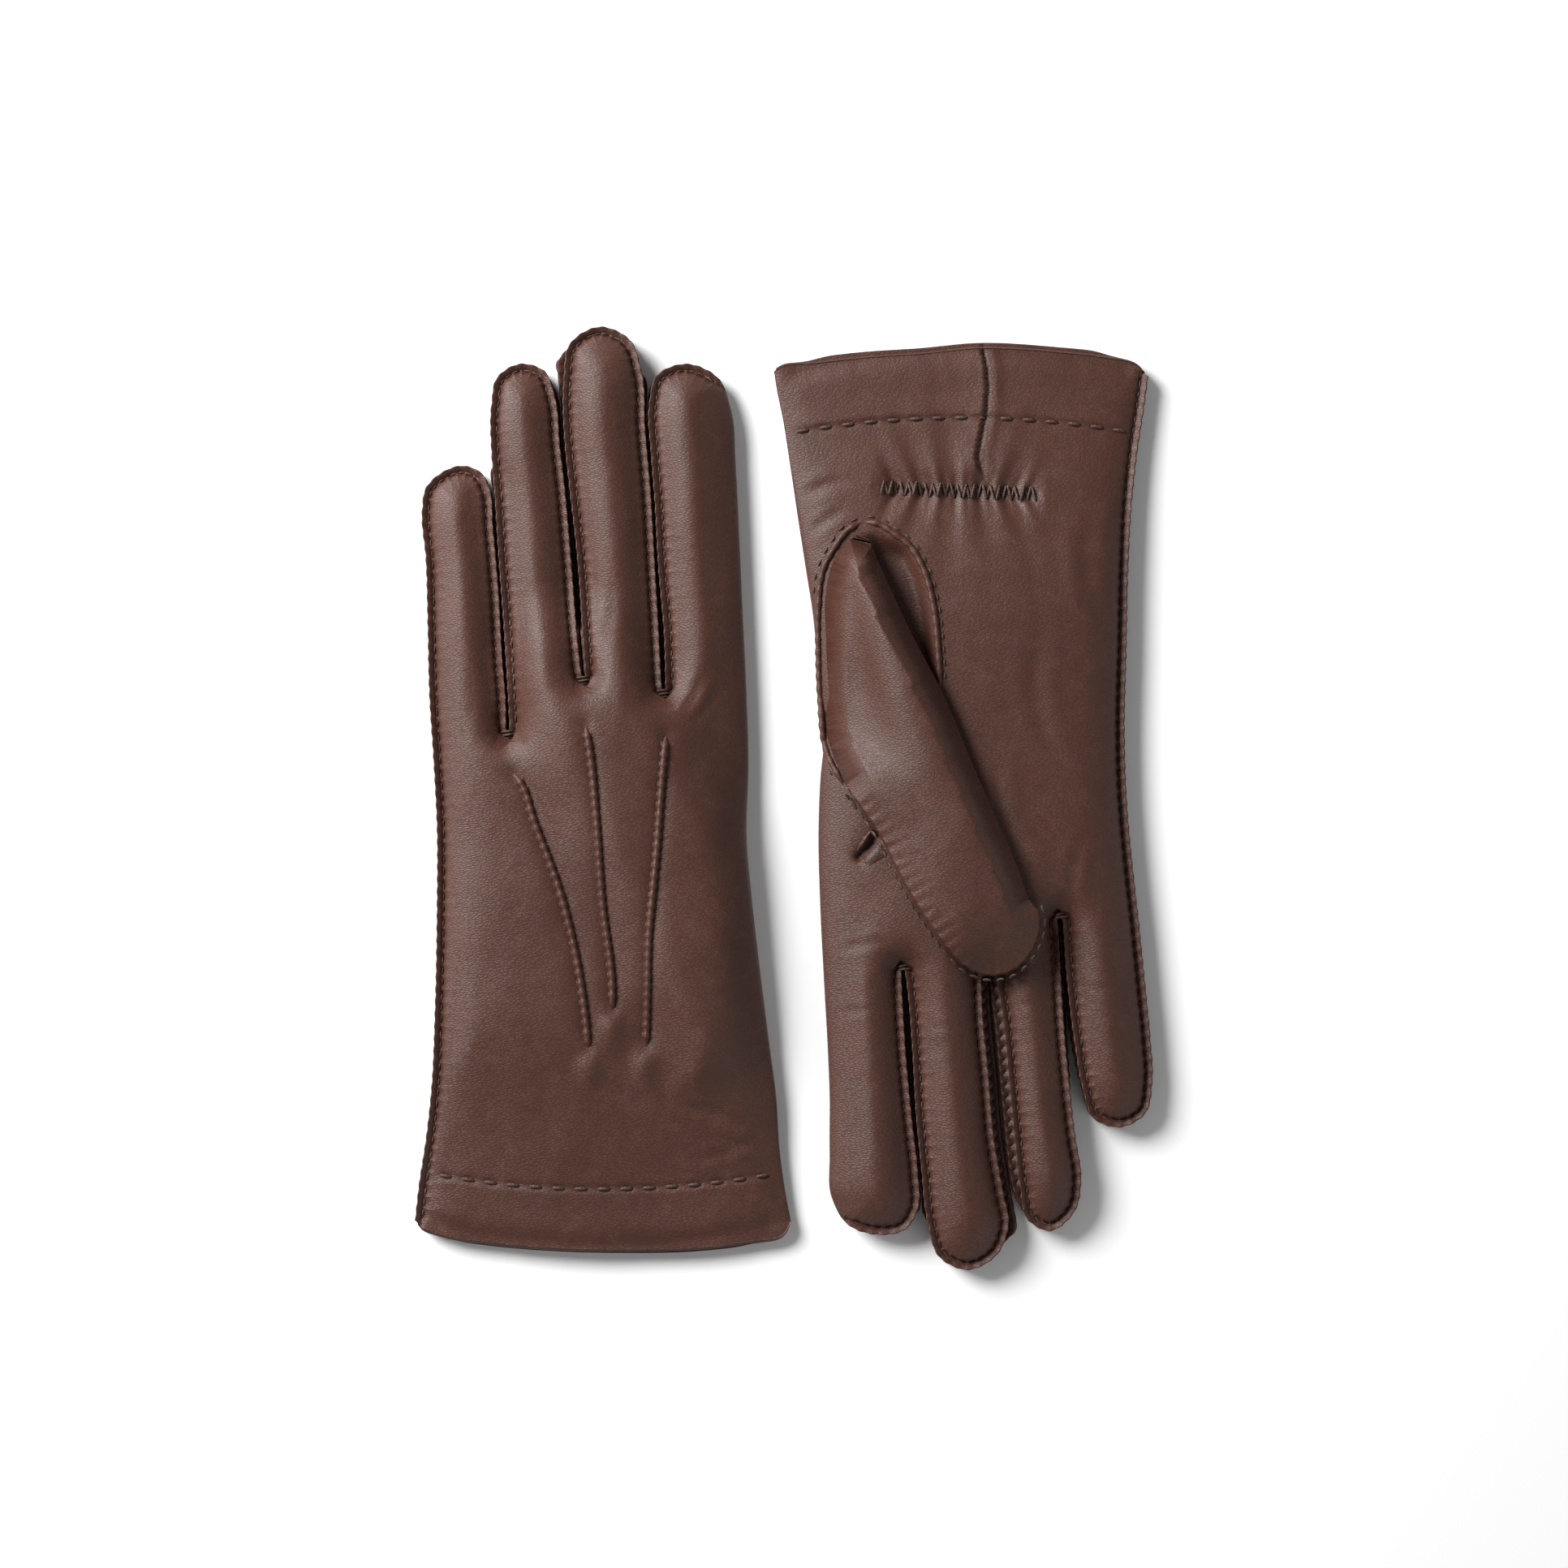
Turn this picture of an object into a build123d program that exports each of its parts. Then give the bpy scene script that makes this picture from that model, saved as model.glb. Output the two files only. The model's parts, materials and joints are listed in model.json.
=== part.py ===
from build123d import *
from math import cos, radians, sin, tan
import os

# A pair of leather dress gloves lying flat: the left glove back up, the right glove palm up and turned end for end.
#
# Both gloves come from one design, drawn palm up in its own frame: +Y runs from the cuff to the fingertips, the
# little finger is on the -X side, and z = 0 is the crest of the sewn points on the back.  The right glove is that
# design turned half a turn about Z.  The left glove is the design mirrored in z, so its palm and its tucked thumb
# lie on the table; its back rises over the thumb.
#
# Every layer is the space between two insets of one outer surface: leather, then lining.  Seam threads are thin
# bands just outside that surface, and the hem and wrist stitches are sunk into the leather.

# ------------------------------------------------------------------ driving sizes, in millimetres and degrees
LEATHER = 0.8                # thickness of the leather
LINING = 0.8                 # thickness of the knitted lining
LAYER_GAP = 0.2              # free play between the leather and the lining
FIT_GAP = 0.05               # clearance between sewn pieces
THREAD_HEIGHT = 0.45
THREAD_WIDTH = 0.7

FINGER_HEIGHT = 12.4         # a relaxed finger, from its back to its pad
FINGER_EDGE = 3.4            # rounding of the fingers' and the hand's long edges
THUMB_HEIGHT = 8.6           # the thumb lies pressed flatter
THUMB_EDGE = 2.8
REST_GAP = 0.35              # between the folded thumb and the palm
THUMB_SINK = 3.8             # how far the tucked thumb presses into the soft glove above it
DRAPE_RISE = THUMB_HEIGHT - THUMB_SINK     # how far the left glove's back rises over that thumb
DRAPE_MARGIN = 5.0           # how far around the thumb that rise reaches
DRAPE_EDGE = 3.0

GLOVE_LENGTH = 248.8         # cuff edge to middle fingertip
FINGER_LENGTH = {"little": 65.6, "ring": 80.8, "middle": 91.8, "index": 81.0}     # from each root point
FINGER_WIDTH = {"little": 17.6, "ring": 18.6, "middle": 19.2, "index": 20.4}
FINGER_ROOT_X = {"little": -36.4, "ring": -16.2, "middle": 4.9, "index": 26.5}
FINGER_LEAN = {"little": 3.4, "ring": 4.6, "middle": 4.3, "index": 3.0}           # towards -X
FINGER_HINGE = {"little": 16.5, "ring": 19.0, "middle": 19.5, "index": 18.0}      # root point to the bend
LITTLE_SETBACK = 12.5        # the little finger's root lies this much nearer the cuff
ROOT_OVERLAP = 12.0          # how far a finger's volume reaches back into the hand
FLEX = 75.0                  # bend towards the palm
EXTEND = 25.0                # bend towards the back
THUMB_FLEX = 85.0            # lift of the folded thumb off the palm
HINGE_SLACK = 0.4            # free play at the middle of a bend
SIDE_SLACK = 0.5             # from a seam thread to the cutter that frees its finger

CUFF_WIDTH = 101.4
CUFF_BOW = 6.0               # how much lower the cuff edge is at its middle than at its corners
CUFF_OVERRUN = 30.0          # volumes run past the cuff edge and are cut off there
WAIST_WIDTH = 82.8
WAIST_CENTRE = -3.2
WAIST_Y = 96.0
KNUCKLE_MARGIN = 0.9         # the hand's side stands this far outside the outer fingers
CORNER = 8.0                 # plan radius of the hand's corners
LINING_SETBACK = 3.0         # the lining ends this far inside the cuff

HEM_DEPTH = 17.0             # cuff edge to the hem's running stitch
HEM_PITCH = 6.1
HEM_STITCH = 3.3             # length of one stitch
STITCH_DEPTH = 0.5           # how deep the sunk stitches reach into the leather

THUMB_HEEL = (25.0, 51.0, 4.0)         # x, y and radius of the pointed end by the wrist
THUMB_BALL = (21.5, 86.0, 15.5)
THUMB_WAIST = (16.5, 112.0, 14.5)
THUMB_TIP_RADIUS = 11.4
THUMB_LEAN = 22.3
THUMB_REACH = 75.1                     # centre of the ball to centre of the tip
THUMB_HINGE = 42.0                     # centre of the ball to the bend
HOLE_INSET = 4.6                       # the thumb hole's edge lies this far inside the thumb
QUIRK_CENTRE = (26.0, 136.0)           # the small gusset at the foot of the thumb
QUIRK_HALF = (4.0, 4.6)

RIDGE_HEIGHT = 0.8                     # the three sewn points on the back
RIDGE_WIDTH = 1.5
POINTS = (((-22.8, 127.0), (-15.0, 99.0), (-4.6, 53.0)),
          ((-3.4, 139.0), (0.4, 94.0), (2.9, 63.5)),
          ((16.6, 137.5), (14.6, 105.0), (11.8, 53.0)))

ELASTIC_CENTRE = (0.5, 38.0)           # the wrist gather in the palm
ELASTIC_SIZE = (44.0, 4.5)
ELASTIC_THICKNESS = 0.5
ZIGZAG_SWING = 3.6
ZIGZAG_STROKES = 30

SIDE_STITCH_MARGIN = 6.0               # the side seam's thread starts this far above the cuff edge
FOURCHETTE_START = 6.5                 # from a finger's bend to the start of its side strip
CUFF_Y = 121.1                         # from the pair's centre to each cuff edge
PAIR_SPACING = 96.4                    # between the two gloves' centre lines
FAR = 300.0                            # longer than anything here

# ------------------------------------------------------------------ sizes worked out from those
FINGERS = tuple(FINGER_LENGTH)
NEIGHBOURS = {"little": (1,), "ring": (-1, 1), "middle": (-1, 1), "index": (-1,)}
SIDE_NAME = {-1: "little_side", 1: "index_side"}
ROOT_Y = GLOVE_LENGTH - FINGER_LENGTH["middle"]
THREAD_REACH = FIT_GAP + THREAD_HEIGHT          # a seam thread's outside above the leather
LINING_TOP = LEATHER + LAYER_GAP                # insets of the lining's two faces
LINING_BOTTOM = LINING_TOP + LINING


def direction(lean):
    """The unit vector that leans so many degrees from +Y towards -X."""
    return Vector(-sin(radians(lean)), cos(radians(lean)), 0)


def finger_root(name):
    setback = LITTLE_SETBACK if name == "little" else 0.0
    return Vector(FINGER_ROOT_X[name], ROOT_Y - setback, 0)


def finger_hinge(name):
    return finger_root(name) + direction(FINGER_LEAN[name]) * FINGER_HINGE[name]


def thumb_hinge():
    return Vector(THUMB_BALL[0], THUMB_BALL[1], 0) + direction(THUMB_LEAN) * THUMB_HINGE


# ------------------------------------------------------------------ plan shapes, as circles with a hull round them
def hull(circles, grow=0.0):
    """The face round several circles, each (x, y, radius), with every radius grown."""
    edges = [edge for x, y, r in circles for edge in (Pos(x, y) * Circle(r + grow)).edges()]
    return make_hull(edges).face()


def slab(circles, low, high, rounding, inset):
    """A plate with rounded rims; inset moves its whole surface inwards, or outwards when it is negative."""
    solid = Pos(0, 0, low + inset) * extrude(hull(circles, -inset), high - low - 2 * inset)
    rims = solid.edges().group_by(Axis.Z)
    return fillet(rims[0] + rims[-1], rounding - inset)


def finger_circles(name):
    along = direction(FINGER_LEAN[name])
    radius = FINGER_WIDTH[name] / 2
    heel = finger_root(name) - along * ROOT_OVERLAP
    tip = finger_root(name) + along * (FINGER_LENGTH[name] - radius)
    return [(heel.X, heel.Y, radius), (tip.X, tip.Y, radius)]


def hand_plates():
    """Three overlapping plates: cuff to waist, waist to little knuckle, and the other three knuckles."""
    flare = (CUFF_WIDTH - WAIST_WIDTH) / 2 / WAIST_Y
    cuff_half = CUFF_WIDTH / 2 + flare * CUFF_OVERRUN - CORNER
    waist_half = WAIST_WIDTH / 2 - CORNER
    left = FINGER_ROOT_X["little"] - FINGER_WIDTH["little"] / 2 - KNUCKLE_MARGIN + CORNER
    right = FINGER_ROOT_X["index"] + FINGER_WIDTH["index"] / 2 + KNUCKLE_MARGIN - CORNER
    ring_left = FINGER_ROOT_X["ring"] - FINGER_WIDTH["ring"] / 2 + CORNER
    low, high = ROOT_Y - LITTLE_SETBACK - CORNER, ROOT_Y - CORNER
    cuff = [(side * cuff_half, -CUFF_OVERRUN) for side in (-1, 1)]
    waist = [(WAIST_CENTRE + side * waist_half, WAIST_Y) for side in (-1, 1)]
    knuckles = [(left, low), (right, low)]
    heads = [(ring_left, low - CORNER), (right, low - CORNER), (ring_left, high), (right, high)]
    return [[(x, y, CORNER) for x, y in plate] for plate in (cuff + waist, waist + knuckles, heads)]


def thumb_circles(grow=0.0):
    tip = Vector(THUMB_BALL[0], THUMB_BALL[1], 0) + direction(THUMB_LEAN) * THUMB_REACH
    circles = [THUMB_HEEL, THUMB_BALL, THUMB_WAIST, (tip.X, tip.Y, THUMB_TIP_RADIUS)]
    return [(x, y, r + grow) for x, y, r in circles]


def hole_circles():
    """The thumb hole: the thumb's foot, drawn in."""
    heel_x, heel_y, heel_r = THUMB_HEEL
    ball_x, ball_y, ball_r = THUMB_BALL
    waist_x, waist_y, waist_r = THUMB_WAIST
    return [(heel_x, heel_y + 2 * HOLE_INSET, heel_r / 2), (ball_x, ball_y, ball_r - HOLE_INSET),
            (waist_x, waist_y - HOLE_INSET, waist_r - 1.5 * HOLE_INSET)]


# ------------------------------------------------------------------ cutters
def placed_box(origin, lean, x_range, y_range, z_range):
    """A box given in the frame at origin whose Y axis leans."""
    sizes = [high - low for low, high in (x_range, y_range, z_range)]
    box = Box(*sizes, align=(Align.MIN, Align.MIN, Align.MIN))
    return Pos(origin.X, origin.Y, 0) * Rot(0, 0, lean) * Pos(x_range[0], y_range[0], z_range[0]) * box


def beyond(origin, lean, start=0.0, half_width=FAR):
    """Everything past a line across the direction that leans, start beyond origin."""
    return placed_box(origin, lean, (-half_width, half_width), (start, FAR), (-FAR, FAR))


def bend_gap(origin, lean, half_width, axis_z, up, down):
    """The room that a bend needs: up degrees of it on the +Z side of the axis, and down degrees on the other."""
    reach = 2 * FINGER_HEIGHT
    half = HINGE_SLACK / 2
    wide = half + reach * tan(radians(up / 2))
    narrow = half + reach * tan(radians(down / 2))
    outline = [(-half, axis_z), (-wide, axis_z + reach), (wide, axis_z + reach), (half, axis_z),
               (narrow, axis_z - reach), (-narrow, axis_z - reach)]
    profile = Plane.YZ * make_face(Polyline(*outline, close=True))
    return Pos(origin.X, origin.Y, 0) * Rot(0, 0, lean) * Pos(-half_width, 0, 0) * extrude(profile, 2 * half_width)


def above_cuff(y):
    """Everything on the finger side of the bowed cuff line, y up from it."""
    half = CUFF_WIDTH / 2
    arc = ThreePointArc((-half, y + CUFF_BOW), (0, y), (half, y + CUFF_BOW))
    rest = Polyline((half, y + CUFF_BOW), (FAR, y + CUFF_BOW), (FAR, FAR), (-FAR, FAR), (-FAR, y + CUFF_BOW),
                    (-half, y + CUFF_BOW))
    return Pos(0, 0, -FAR) * extrude(make_face(arc.edges() + rest.edges()), 2 * FAR)


def cuff_line(x):
    """How far the bowed cuff edge has risen at x."""
    return CUFF_BOW * (x / (CUFF_WIDTH / 2)) ** 2


def trail(points, width, low, high):
    """An upright wall that follows a broken line."""
    walls = [hull([(*a, width / 2), (*b, width / 2)]) for a, b in zip(points, points[1:])]
    face = walls[0].fuse(*walls[1:])
    return Pos(0, 0, low) * extrude(face, high - low)


def zigzag(width, low, high):
    """The wrist gather's zigzag, as a wall of even width measured along Y."""
    centre_x, centre_y = ELASTIC_CENTRE
    step = ELASTIC_SIZE[0] / ZIGZAG_STROKES
    line = [(centre_x - ELASTIC_SIZE[0] / 2 + i * step, centre_y + ZIGZAG_SWING / 2 * (-1) ** i)
            for i in range(ZIGZAG_STROKES + 1)]
    upper = [(x, y + width) for x, y in line]
    lower = [(x, y - width) for x, y in reversed(line)]
    return Pos(0, 0, low) * extrude(make_face(Polyline(*upper, *lower, close=True)), high - low)


def hem_boxes(grow):
    """Upright blocks over the hem's stitches, right through the glove."""
    count = int((CUFF_WIDTH - 2 * CORNER) / HEM_PITCH)
    blocks = []
    for i in range(count):
        x = (i - (count - 1) / 2) * HEM_PITCH
        y = HEM_DEPTH + cuff_line(x)
        size = (HEM_STITCH + 2 * grow, THREAD_WIDTH + 2 * grow, 2 * FAR)
        blocks.append(Pos(x, y, 0) * Box(*size))
    return Compound(blocks)


# ------------------------------------------------------------------ one glove
class Glove:
    """One glove in the design frame, palm up.  A draped glove's thumb is pressed into its palm."""

    def __init__(self, draped):
        rise = DRAPE_RISE if draped else 0.0
        self.draped = draped
        self.back_z = RIDGE_HEIGHT + rise
        self.palm_z = self.back_z + FINGER_HEIGHT
        self.thumb_high = self.palm_z if draped else self.palm_z + REST_GAP + THUMB_HEIGHT
        self.thumb_low = self.thumb_high - THUMB_HEIGHT
        self.back_reach = min(FINGER_EDGE, self.thumb_low - REST_GAP - self.back_z)
        self.finger_axis_z = self.back_z + FINGER_HEIGHT / 2
        self.thumb_axis_z = self.thumb_low + THUMB_HEIGHT / 2
        self.seams = (self.back_z + FINGER_EDGE, self.palm_z - FINGER_EDGE)
        self.bodies = {}

    # ---- volumes inside (or, when negative, outside) the outer surface
    def body(self, inset):
        """The hand and its fingers in one."""
        if inset not in self.bodies:
            plans = hand_plates() + [finger_circles(name) for name in FINGERS]
            plates = [slab(plan, self.back_z, self.palm_z, FINGER_EDGE, inset) for plan in plans]
            volume = plates[0].fuse(*plates[1:])
            if self.draped:
                hump = slab(thumb_circles(DRAPE_MARGIN), RIDGE_HEIGHT, self.seams[1], DRAPE_EDGE, inset)
                bed = slab(thumb_circles(THREAD_REACH), self.thumb_low, self.palm_z + FAR, THUMB_EDGE,
                           -REST_GAP - inset)
                volume = volume + hump - bed
            self.bodies[inset] = volume
        return self.bodies[inset]

    def finger(self, name, inset):
        return slab(finger_circles(name), self.back_z, self.palm_z, FINGER_EDGE, inset)

    def thumb(self, inset):
        return slab(thumb_circles(), self.thumb_low, self.thumb_high, THUMB_EDGE, inset)

    # ---- which side of a bend
    def finger_half_width(self, name):
        return FINGER_WIDTH[name] / 2 + THREAD_REACH + SIDE_SLACK

    def finger_gap(self, name):
        return bend_gap(finger_hinge(name), FINGER_LEAN[name], self.finger_half_width(name),
                        self.finger_axis_z, FLEX, EXTEND)

    def thumb_gap(self):
        return bend_gap(thumb_hinge(), THUMB_LEAN, FAR / 2, self.thumb_axis_z, THUMB_FLEX, 0.0)

    def of_hand(self, layer):
        """The part of a whole-glove layer that belongs to the hand."""
        for name in FINGERS:
            layer = layer - beyond(finger_hinge(name), FINGER_LEAN[name], 0.0, self.finger_half_width(name))
            layer = layer - self.finger_gap(name)
        return layer

    def of_finger(self, name, layer):
        return (layer & beyond(finger_hinge(name), FINGER_LEAN[name])) - self.finger_gap(name)

    def of_thumb_tip(self, layer):
        return (layer & beyond(thumb_hinge(), THUMB_LEAN)) - self.thumb_gap()

    def of_thumb_base(self, layer):
        return layer - beyond(thumb_hinge(), THUMB_LEAN) - self.thumb_gap()

    # ---- features
    def back_only(self, low=-FAR):
        return Pos(0, 0, low) * Box(2 * FAR, 2 * FAR, self.back_z + self.back_reach - low,
                                    align=(Align.CENTER, Align.CENTER, Align.MIN))

    def palm_wall(self, shape_function, *sizes):
        """A feature's upright shape through the palm face, from inside the hand to just above it."""
        return shape_function(*sizes, self.palm_z - FINGER_EDGE, self.palm_z + FINGER_EDGE)

    def thumb_hole(self):
        """The passage from the palm into the thumb."""
        low = self.thumb_low - REST_GAP - 1.5 * LINING_BOTTOM
        return Pos(0, 0, low) * extrude(hull(hole_circles()), self.thumb_axis_z - low)

    def thumb_collar(self):
        """The short neck that joins the thumb's underside to the palm."""
        ring = hull(hole_circles(), LEATHER) - hull(hole_circles())
        return Pos(0, 0, self.thumb_low - REST_GAP) * extrude(ring, REST_GAP + LEATHER)

    def quirk_plate(self, grow):
        x, y = QUIRK_CENTRE
        half_x, half_y = QUIRK_HALF
        corners = [(x - half_x - grow, y), (x, y - half_y - grow), (x + half_x + grow, y), (x, y + half_y + grow)]
        low = self.palm_z - LEATHER
        return Pos(0, 0, low) * extrude(make_face(Polyline(*corners, close=True)), LEATHER)

    def elastic(self, grow):
        x, y = ELASTIC_CENTRE
        top = self.palm_z - LEATHER - FIT_GAP
        size = (ELASTIC_SIZE[0] + 2 * grow, ELASTIC_SIZE[1] + 2 * grow, ELASTIC_THICKNESS + 2 * grow)
        return Pos(x, y, top - ELASTIC_THICKNESS / 2) * Box(*size)

    def window(self, name, side, grow):
        """The opening in a finger's side wall that its side strip fills."""
        half = FINGER_WIDTH[name] / 2
        across = sorted((side * (half - LEATHER - LAYER_GAP / 2), side * (half + 1)))
        along = (FINGER_HINGE[name] + FOURCHETTE_START - grow, FINGER_LENGTH[name] - half + grow)
        upright = (self.seams[0] - grow, self.seams[1] + grow)
        return placed_box(finger_root(name), FINGER_LEAN[name], across, along, upright)

    # ---- pieces
    def leather(self):
        """The one-piece back and palm, cut into the pieces that bend, with its points, hole and stitch beds."""
        pieces = {}
        hand = (self.body(0.0) - self.body(LEATHER)) & above_cuff(0.0)
        hand = self.of_hand(hand) - self.thumb_hole() - self.quirk_plate(FIT_GAP)
        hand = hand - (hem_boxes(FIT_GAP) - self.body(STITCH_DEPTH + FIT_GAP))
        hand = hand - Pos(0, 0, self.palm_z - STITCH_DEPTH - FIT_GAP) * zigzag(THREAD_WIDTH + FIT_GAP, 0, FAR)
        crest = (self.body(-RIDGE_HEIGHT) - self.body(0.0)) & self.back_only()
        for line in POINTS:
            hand = hand + (crest & trail(line, RIDGE_WIDTH, -FAR / 2, self.finger_axis_z))
        pieces["hand_leather"] = hand
        for name in FINGERS:
            shell = self.finger(name, 0.0) - self.finger(name, LEATHER)
            for side in NEIGHBOURS[name]:
                strip = shell & self.window(name, side, -FIT_GAP)
                pieces[f"{name}_fourchette_{SIDE_NAME[side]}"] = strip
                shell = shell - self.window(name, side, 0.0)
            pieces[f"{name}_leather"] = self.of_finger(name, shell)
        return pieces

    def thumb_leather(self):
        shell = self.thumb(0.0) - self.thumb(LEATHER)
        base = self.of_thumb_base(shell) - self.thumb_hole() + self.thumb_collar()
        return {"thumb_base_leather": base, "thumb_tip_leather": self.of_thumb_tip(shell),
                "thumb_quirk": self.quirk_plate(0.0)}

    def linings(self):
        hand = (self.body(LINING_TOP) - self.body(LINING_BOTTOM)) & above_cuff(LINING_SETBACK)
        hand = self.of_hand(hand) - self.thumb_hole() - self.elastic(FIT_GAP)
        sleeve = self.thumb(LINING_TOP) - self.thumb(LINING_BOTTOM)
        neck = self.of_thumb_base(sleeve) - self.thumb_hole()
        pieces = {"hand_lining": Compound(hand.solids() + neck.solids()),
                  "thumb_lining": self.of_thumb_tip(sleeve)}
        for name in FINGERS:
            layer = self.finger(name, LINING_TOP) - self.finger(name, LINING_BOTTOM)
            pieces[f"{name}_lining"] = self.of_finger(name, layer)
        return pieces

    def sunk_stitches(self):
        hem = hem_boxes(0.0) & (self.body(FIT_GAP) - self.body(STITCH_DEPTH))
        wave = zigzag(THREAD_WIDTH, self.palm_z - STITCH_DEPTH, self.palm_z - FIT_GAP)
        return {"hem_thread": hem, "wrist_zigzag_thread": wave, "wrist_elastic": self.elastic(0.0)}

    def point_threads(self):
        """A thread round the foot of each point."""
        skin = (self.body(-THREAD_REACH) - self.body(-FIT_GAP)) & self.back_only()
        solids = []
        for line in POINTS:
            inner = trail(line, RIDGE_WIDTH + 2 * FIT_GAP, -FAR / 2, self.finger_axis_z)
            outer = trail(line, RIDGE_WIDTH + 2 * FIT_GAP + 2 * THREAD_WIDTH, -FAR / 2, self.finger_axis_z)
            solids += (skin & (outer - inner)).solids()
        return {"point_threads": Compound(solids)}

    def side_thread(self):
        """The side seam's thread, along the little-finger side of the hand, and the thumb hole's seam."""
        band = Pos(-FAR, 0, self.finger_axis_z) * Box(2 * FAR - 2 * CORNER, 2 * FAR, THREAD_WIDTH)
        skin = (self.body(-THREAD_REACH) - self.body(-FIT_GAP)) & band
        skin = self.of_hand(skin) & above_cuff(SIDE_STITCH_MARGIN)
        left = FINGER_ROOT_X["little"]
        seam = skin & Box(2 * (FAR + left), 2 * FAR, 2 * FAR, align=(Align.MAX, Align.CENTER, Align.CENTER)).moved(
            Location((left, 0, 0)))
        ring = hull(hole_circles(), LEATHER + FIT_GAP + THREAD_WIDTH) - hull(hole_circles(), LEATHER + FIT_GAP)
        ring = Pos(0, 0, self.thumb_low - REST_GAP + FIT_GAP) * extrude(ring, REST_GAP - 2 * FIT_GAP)
        return {"hand_seam_threads": Compound(seam.solids() + ring.solids())}

    def finger_threads(self):
        """Both seams of each finger: at the back and at the palm, round the tip; the outer sides differ."""
        pieces = {}
        for name in FINGERS:
            skin = self.of_finger(name, self.finger(name, -THREAD_REACH) - self.finger(name, -FIT_GAP))
            straight = FINGER_LENGTH[name] - FINGER_WIDTH[name] / 2
            bands = [(self.seams[0] - THREAD_WIDTH, self.seams[0]), (self.seams[1], self.seams[1] + THREAD_WIDTH)]
            solids = []
            for low, high in bands:
                band = skin & placed_box(Vector(0, 0, 0), 0, (-FAR, FAR), (-FAR, FAR), (low, high))
                for side in {-1, 1} - set(NEIGHBOURS[name]):
                    outside = sorted((0.0, side * FAR))
                    band = band - placed_box(finger_root(name), FINGER_LEAN[name], outside, (-FAR, straight),
                                             (-FAR, FAR))
                solids += band.solids()
            if name == "little":
                middle = (self.finger_axis_z - THREAD_WIDTH / 2, self.finger_axis_z + THREAD_WIDTH / 2)
                outer = placed_box(finger_root(name), FINGER_LEAN[name], (-FAR, 0), (0, straight), middle)
                solids += (skin & outer).solids()
            pieces[f"{name}_thread"] = Compound(solids)
        return pieces

    def thumb_thread(self):
        """The thumb's seam, along its index-finger side and round its tip."""
        skin = self.of_thumb_tip(self.thumb(-THREAD_REACH) - self.thumb(-FIT_GAP))
        middle = (self.thumb_axis_z - THREAD_WIDTH / 2, self.thumb_axis_z + THREAD_WIDTH / 2)
        ball = Vector(THUMB_BALL[0], THUMB_BALL[1], 0)
        sides = placed_box(ball, THUMB_LEAN, (0, FAR), (0, FAR), middle)
        tip = placed_box(ball, THUMB_LEAN, (-FAR, FAR), (THUMB_REACH, FAR), middle)
        return {"thumb_thread": skin & (sides + tip)}

    def pieces(self):
        found = {}
        for make in (self.leather, self.thumb_leather, self.linings, self.sunk_stitches, self.point_threads,
                     self.side_thread, self.finger_threads, self.thumb_thread):
            found.update(make())
        return found


def place_right(shape):
    """Palm up, fingers towards -Y."""
    return Pos(PAIR_SPACING / 2, CUFF_Y, 0) * Rot(0, 0, 180) * shape


def place_left(shape, palm_z):
    """Back up, fingers towards +Y: the design mirrored in z, with its palm on the table."""
    return Pos(-PAIR_SPACING / 2, -CUFF_Y, palm_z) * mirror(shape, Plane.XY)


def main():
    os.makedirs("parts", exist_ok=True)
    right, left = Glove(draped=False), Glove(draped=True)
    for name, shape in right.pieces().items():
        export_step(place_right(shape), f"parts/right_{name}.step")
    for name, shape in left.pieces().items():
        export_step(place_left(shape, left.palm_z), f"parts/left_{name}.step")


if __name__ == "__main__":
    main()
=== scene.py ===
import json
import math

import bpy
import numpy as np
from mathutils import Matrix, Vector
from mathutils.geometry import delaunay_2d_cdt


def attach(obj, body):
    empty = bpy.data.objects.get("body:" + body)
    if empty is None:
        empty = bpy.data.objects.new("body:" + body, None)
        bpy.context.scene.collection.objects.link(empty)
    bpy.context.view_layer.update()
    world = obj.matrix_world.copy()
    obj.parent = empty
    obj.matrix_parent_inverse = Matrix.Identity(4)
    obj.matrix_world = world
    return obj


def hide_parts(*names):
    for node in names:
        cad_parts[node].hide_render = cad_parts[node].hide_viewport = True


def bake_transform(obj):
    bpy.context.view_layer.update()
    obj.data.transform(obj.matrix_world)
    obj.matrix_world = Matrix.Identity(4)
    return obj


# A pair of hand-sewn leather gloves, laid flat: the left one back up, the right one palm up.
# Each glove is worked out in millimetres in its own plan frame: u across, v from the cuff to the fingertips,
# the little finger at -u, and z up from the table.  place() then puts it where the CAD frame has it.

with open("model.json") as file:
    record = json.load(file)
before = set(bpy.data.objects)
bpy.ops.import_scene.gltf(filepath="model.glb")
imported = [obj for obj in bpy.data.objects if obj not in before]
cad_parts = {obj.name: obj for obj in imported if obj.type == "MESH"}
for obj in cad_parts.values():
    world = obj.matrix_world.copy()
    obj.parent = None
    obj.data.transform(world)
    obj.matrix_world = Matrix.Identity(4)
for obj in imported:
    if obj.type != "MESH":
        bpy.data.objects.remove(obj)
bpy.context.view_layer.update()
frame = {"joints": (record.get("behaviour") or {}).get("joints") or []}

# ---------------------------------------------------------------- sizes, in millimetres
PLACE = {"left": (-48.4, -121.1, 1.0), "right": (48.0, 121.1, -1.0)}     # plan origin and direction
FLANGE = 1.9              # raw edge to stitch line of every outer seam
SEAM_PITCH = 3.3
LEATHER = 0.75            # one layer
SOFTNESS = 4.0            # how far a seam holds the leather down
OUTLINE_STEP = 0.62
RING_DISTANCES = (0.3, 0.9, 1.45, 1.9, 2.35, 2.85, 3.6, 4.7)
COARSE_GRID, FINE_GRID = 1.35, 0.72
FINGERS = ("little", "ring", "middle", "index")
HEM_EDGE = {"left": 16.0, "right": 18.2}
HEM_BOW = 4.2
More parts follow.
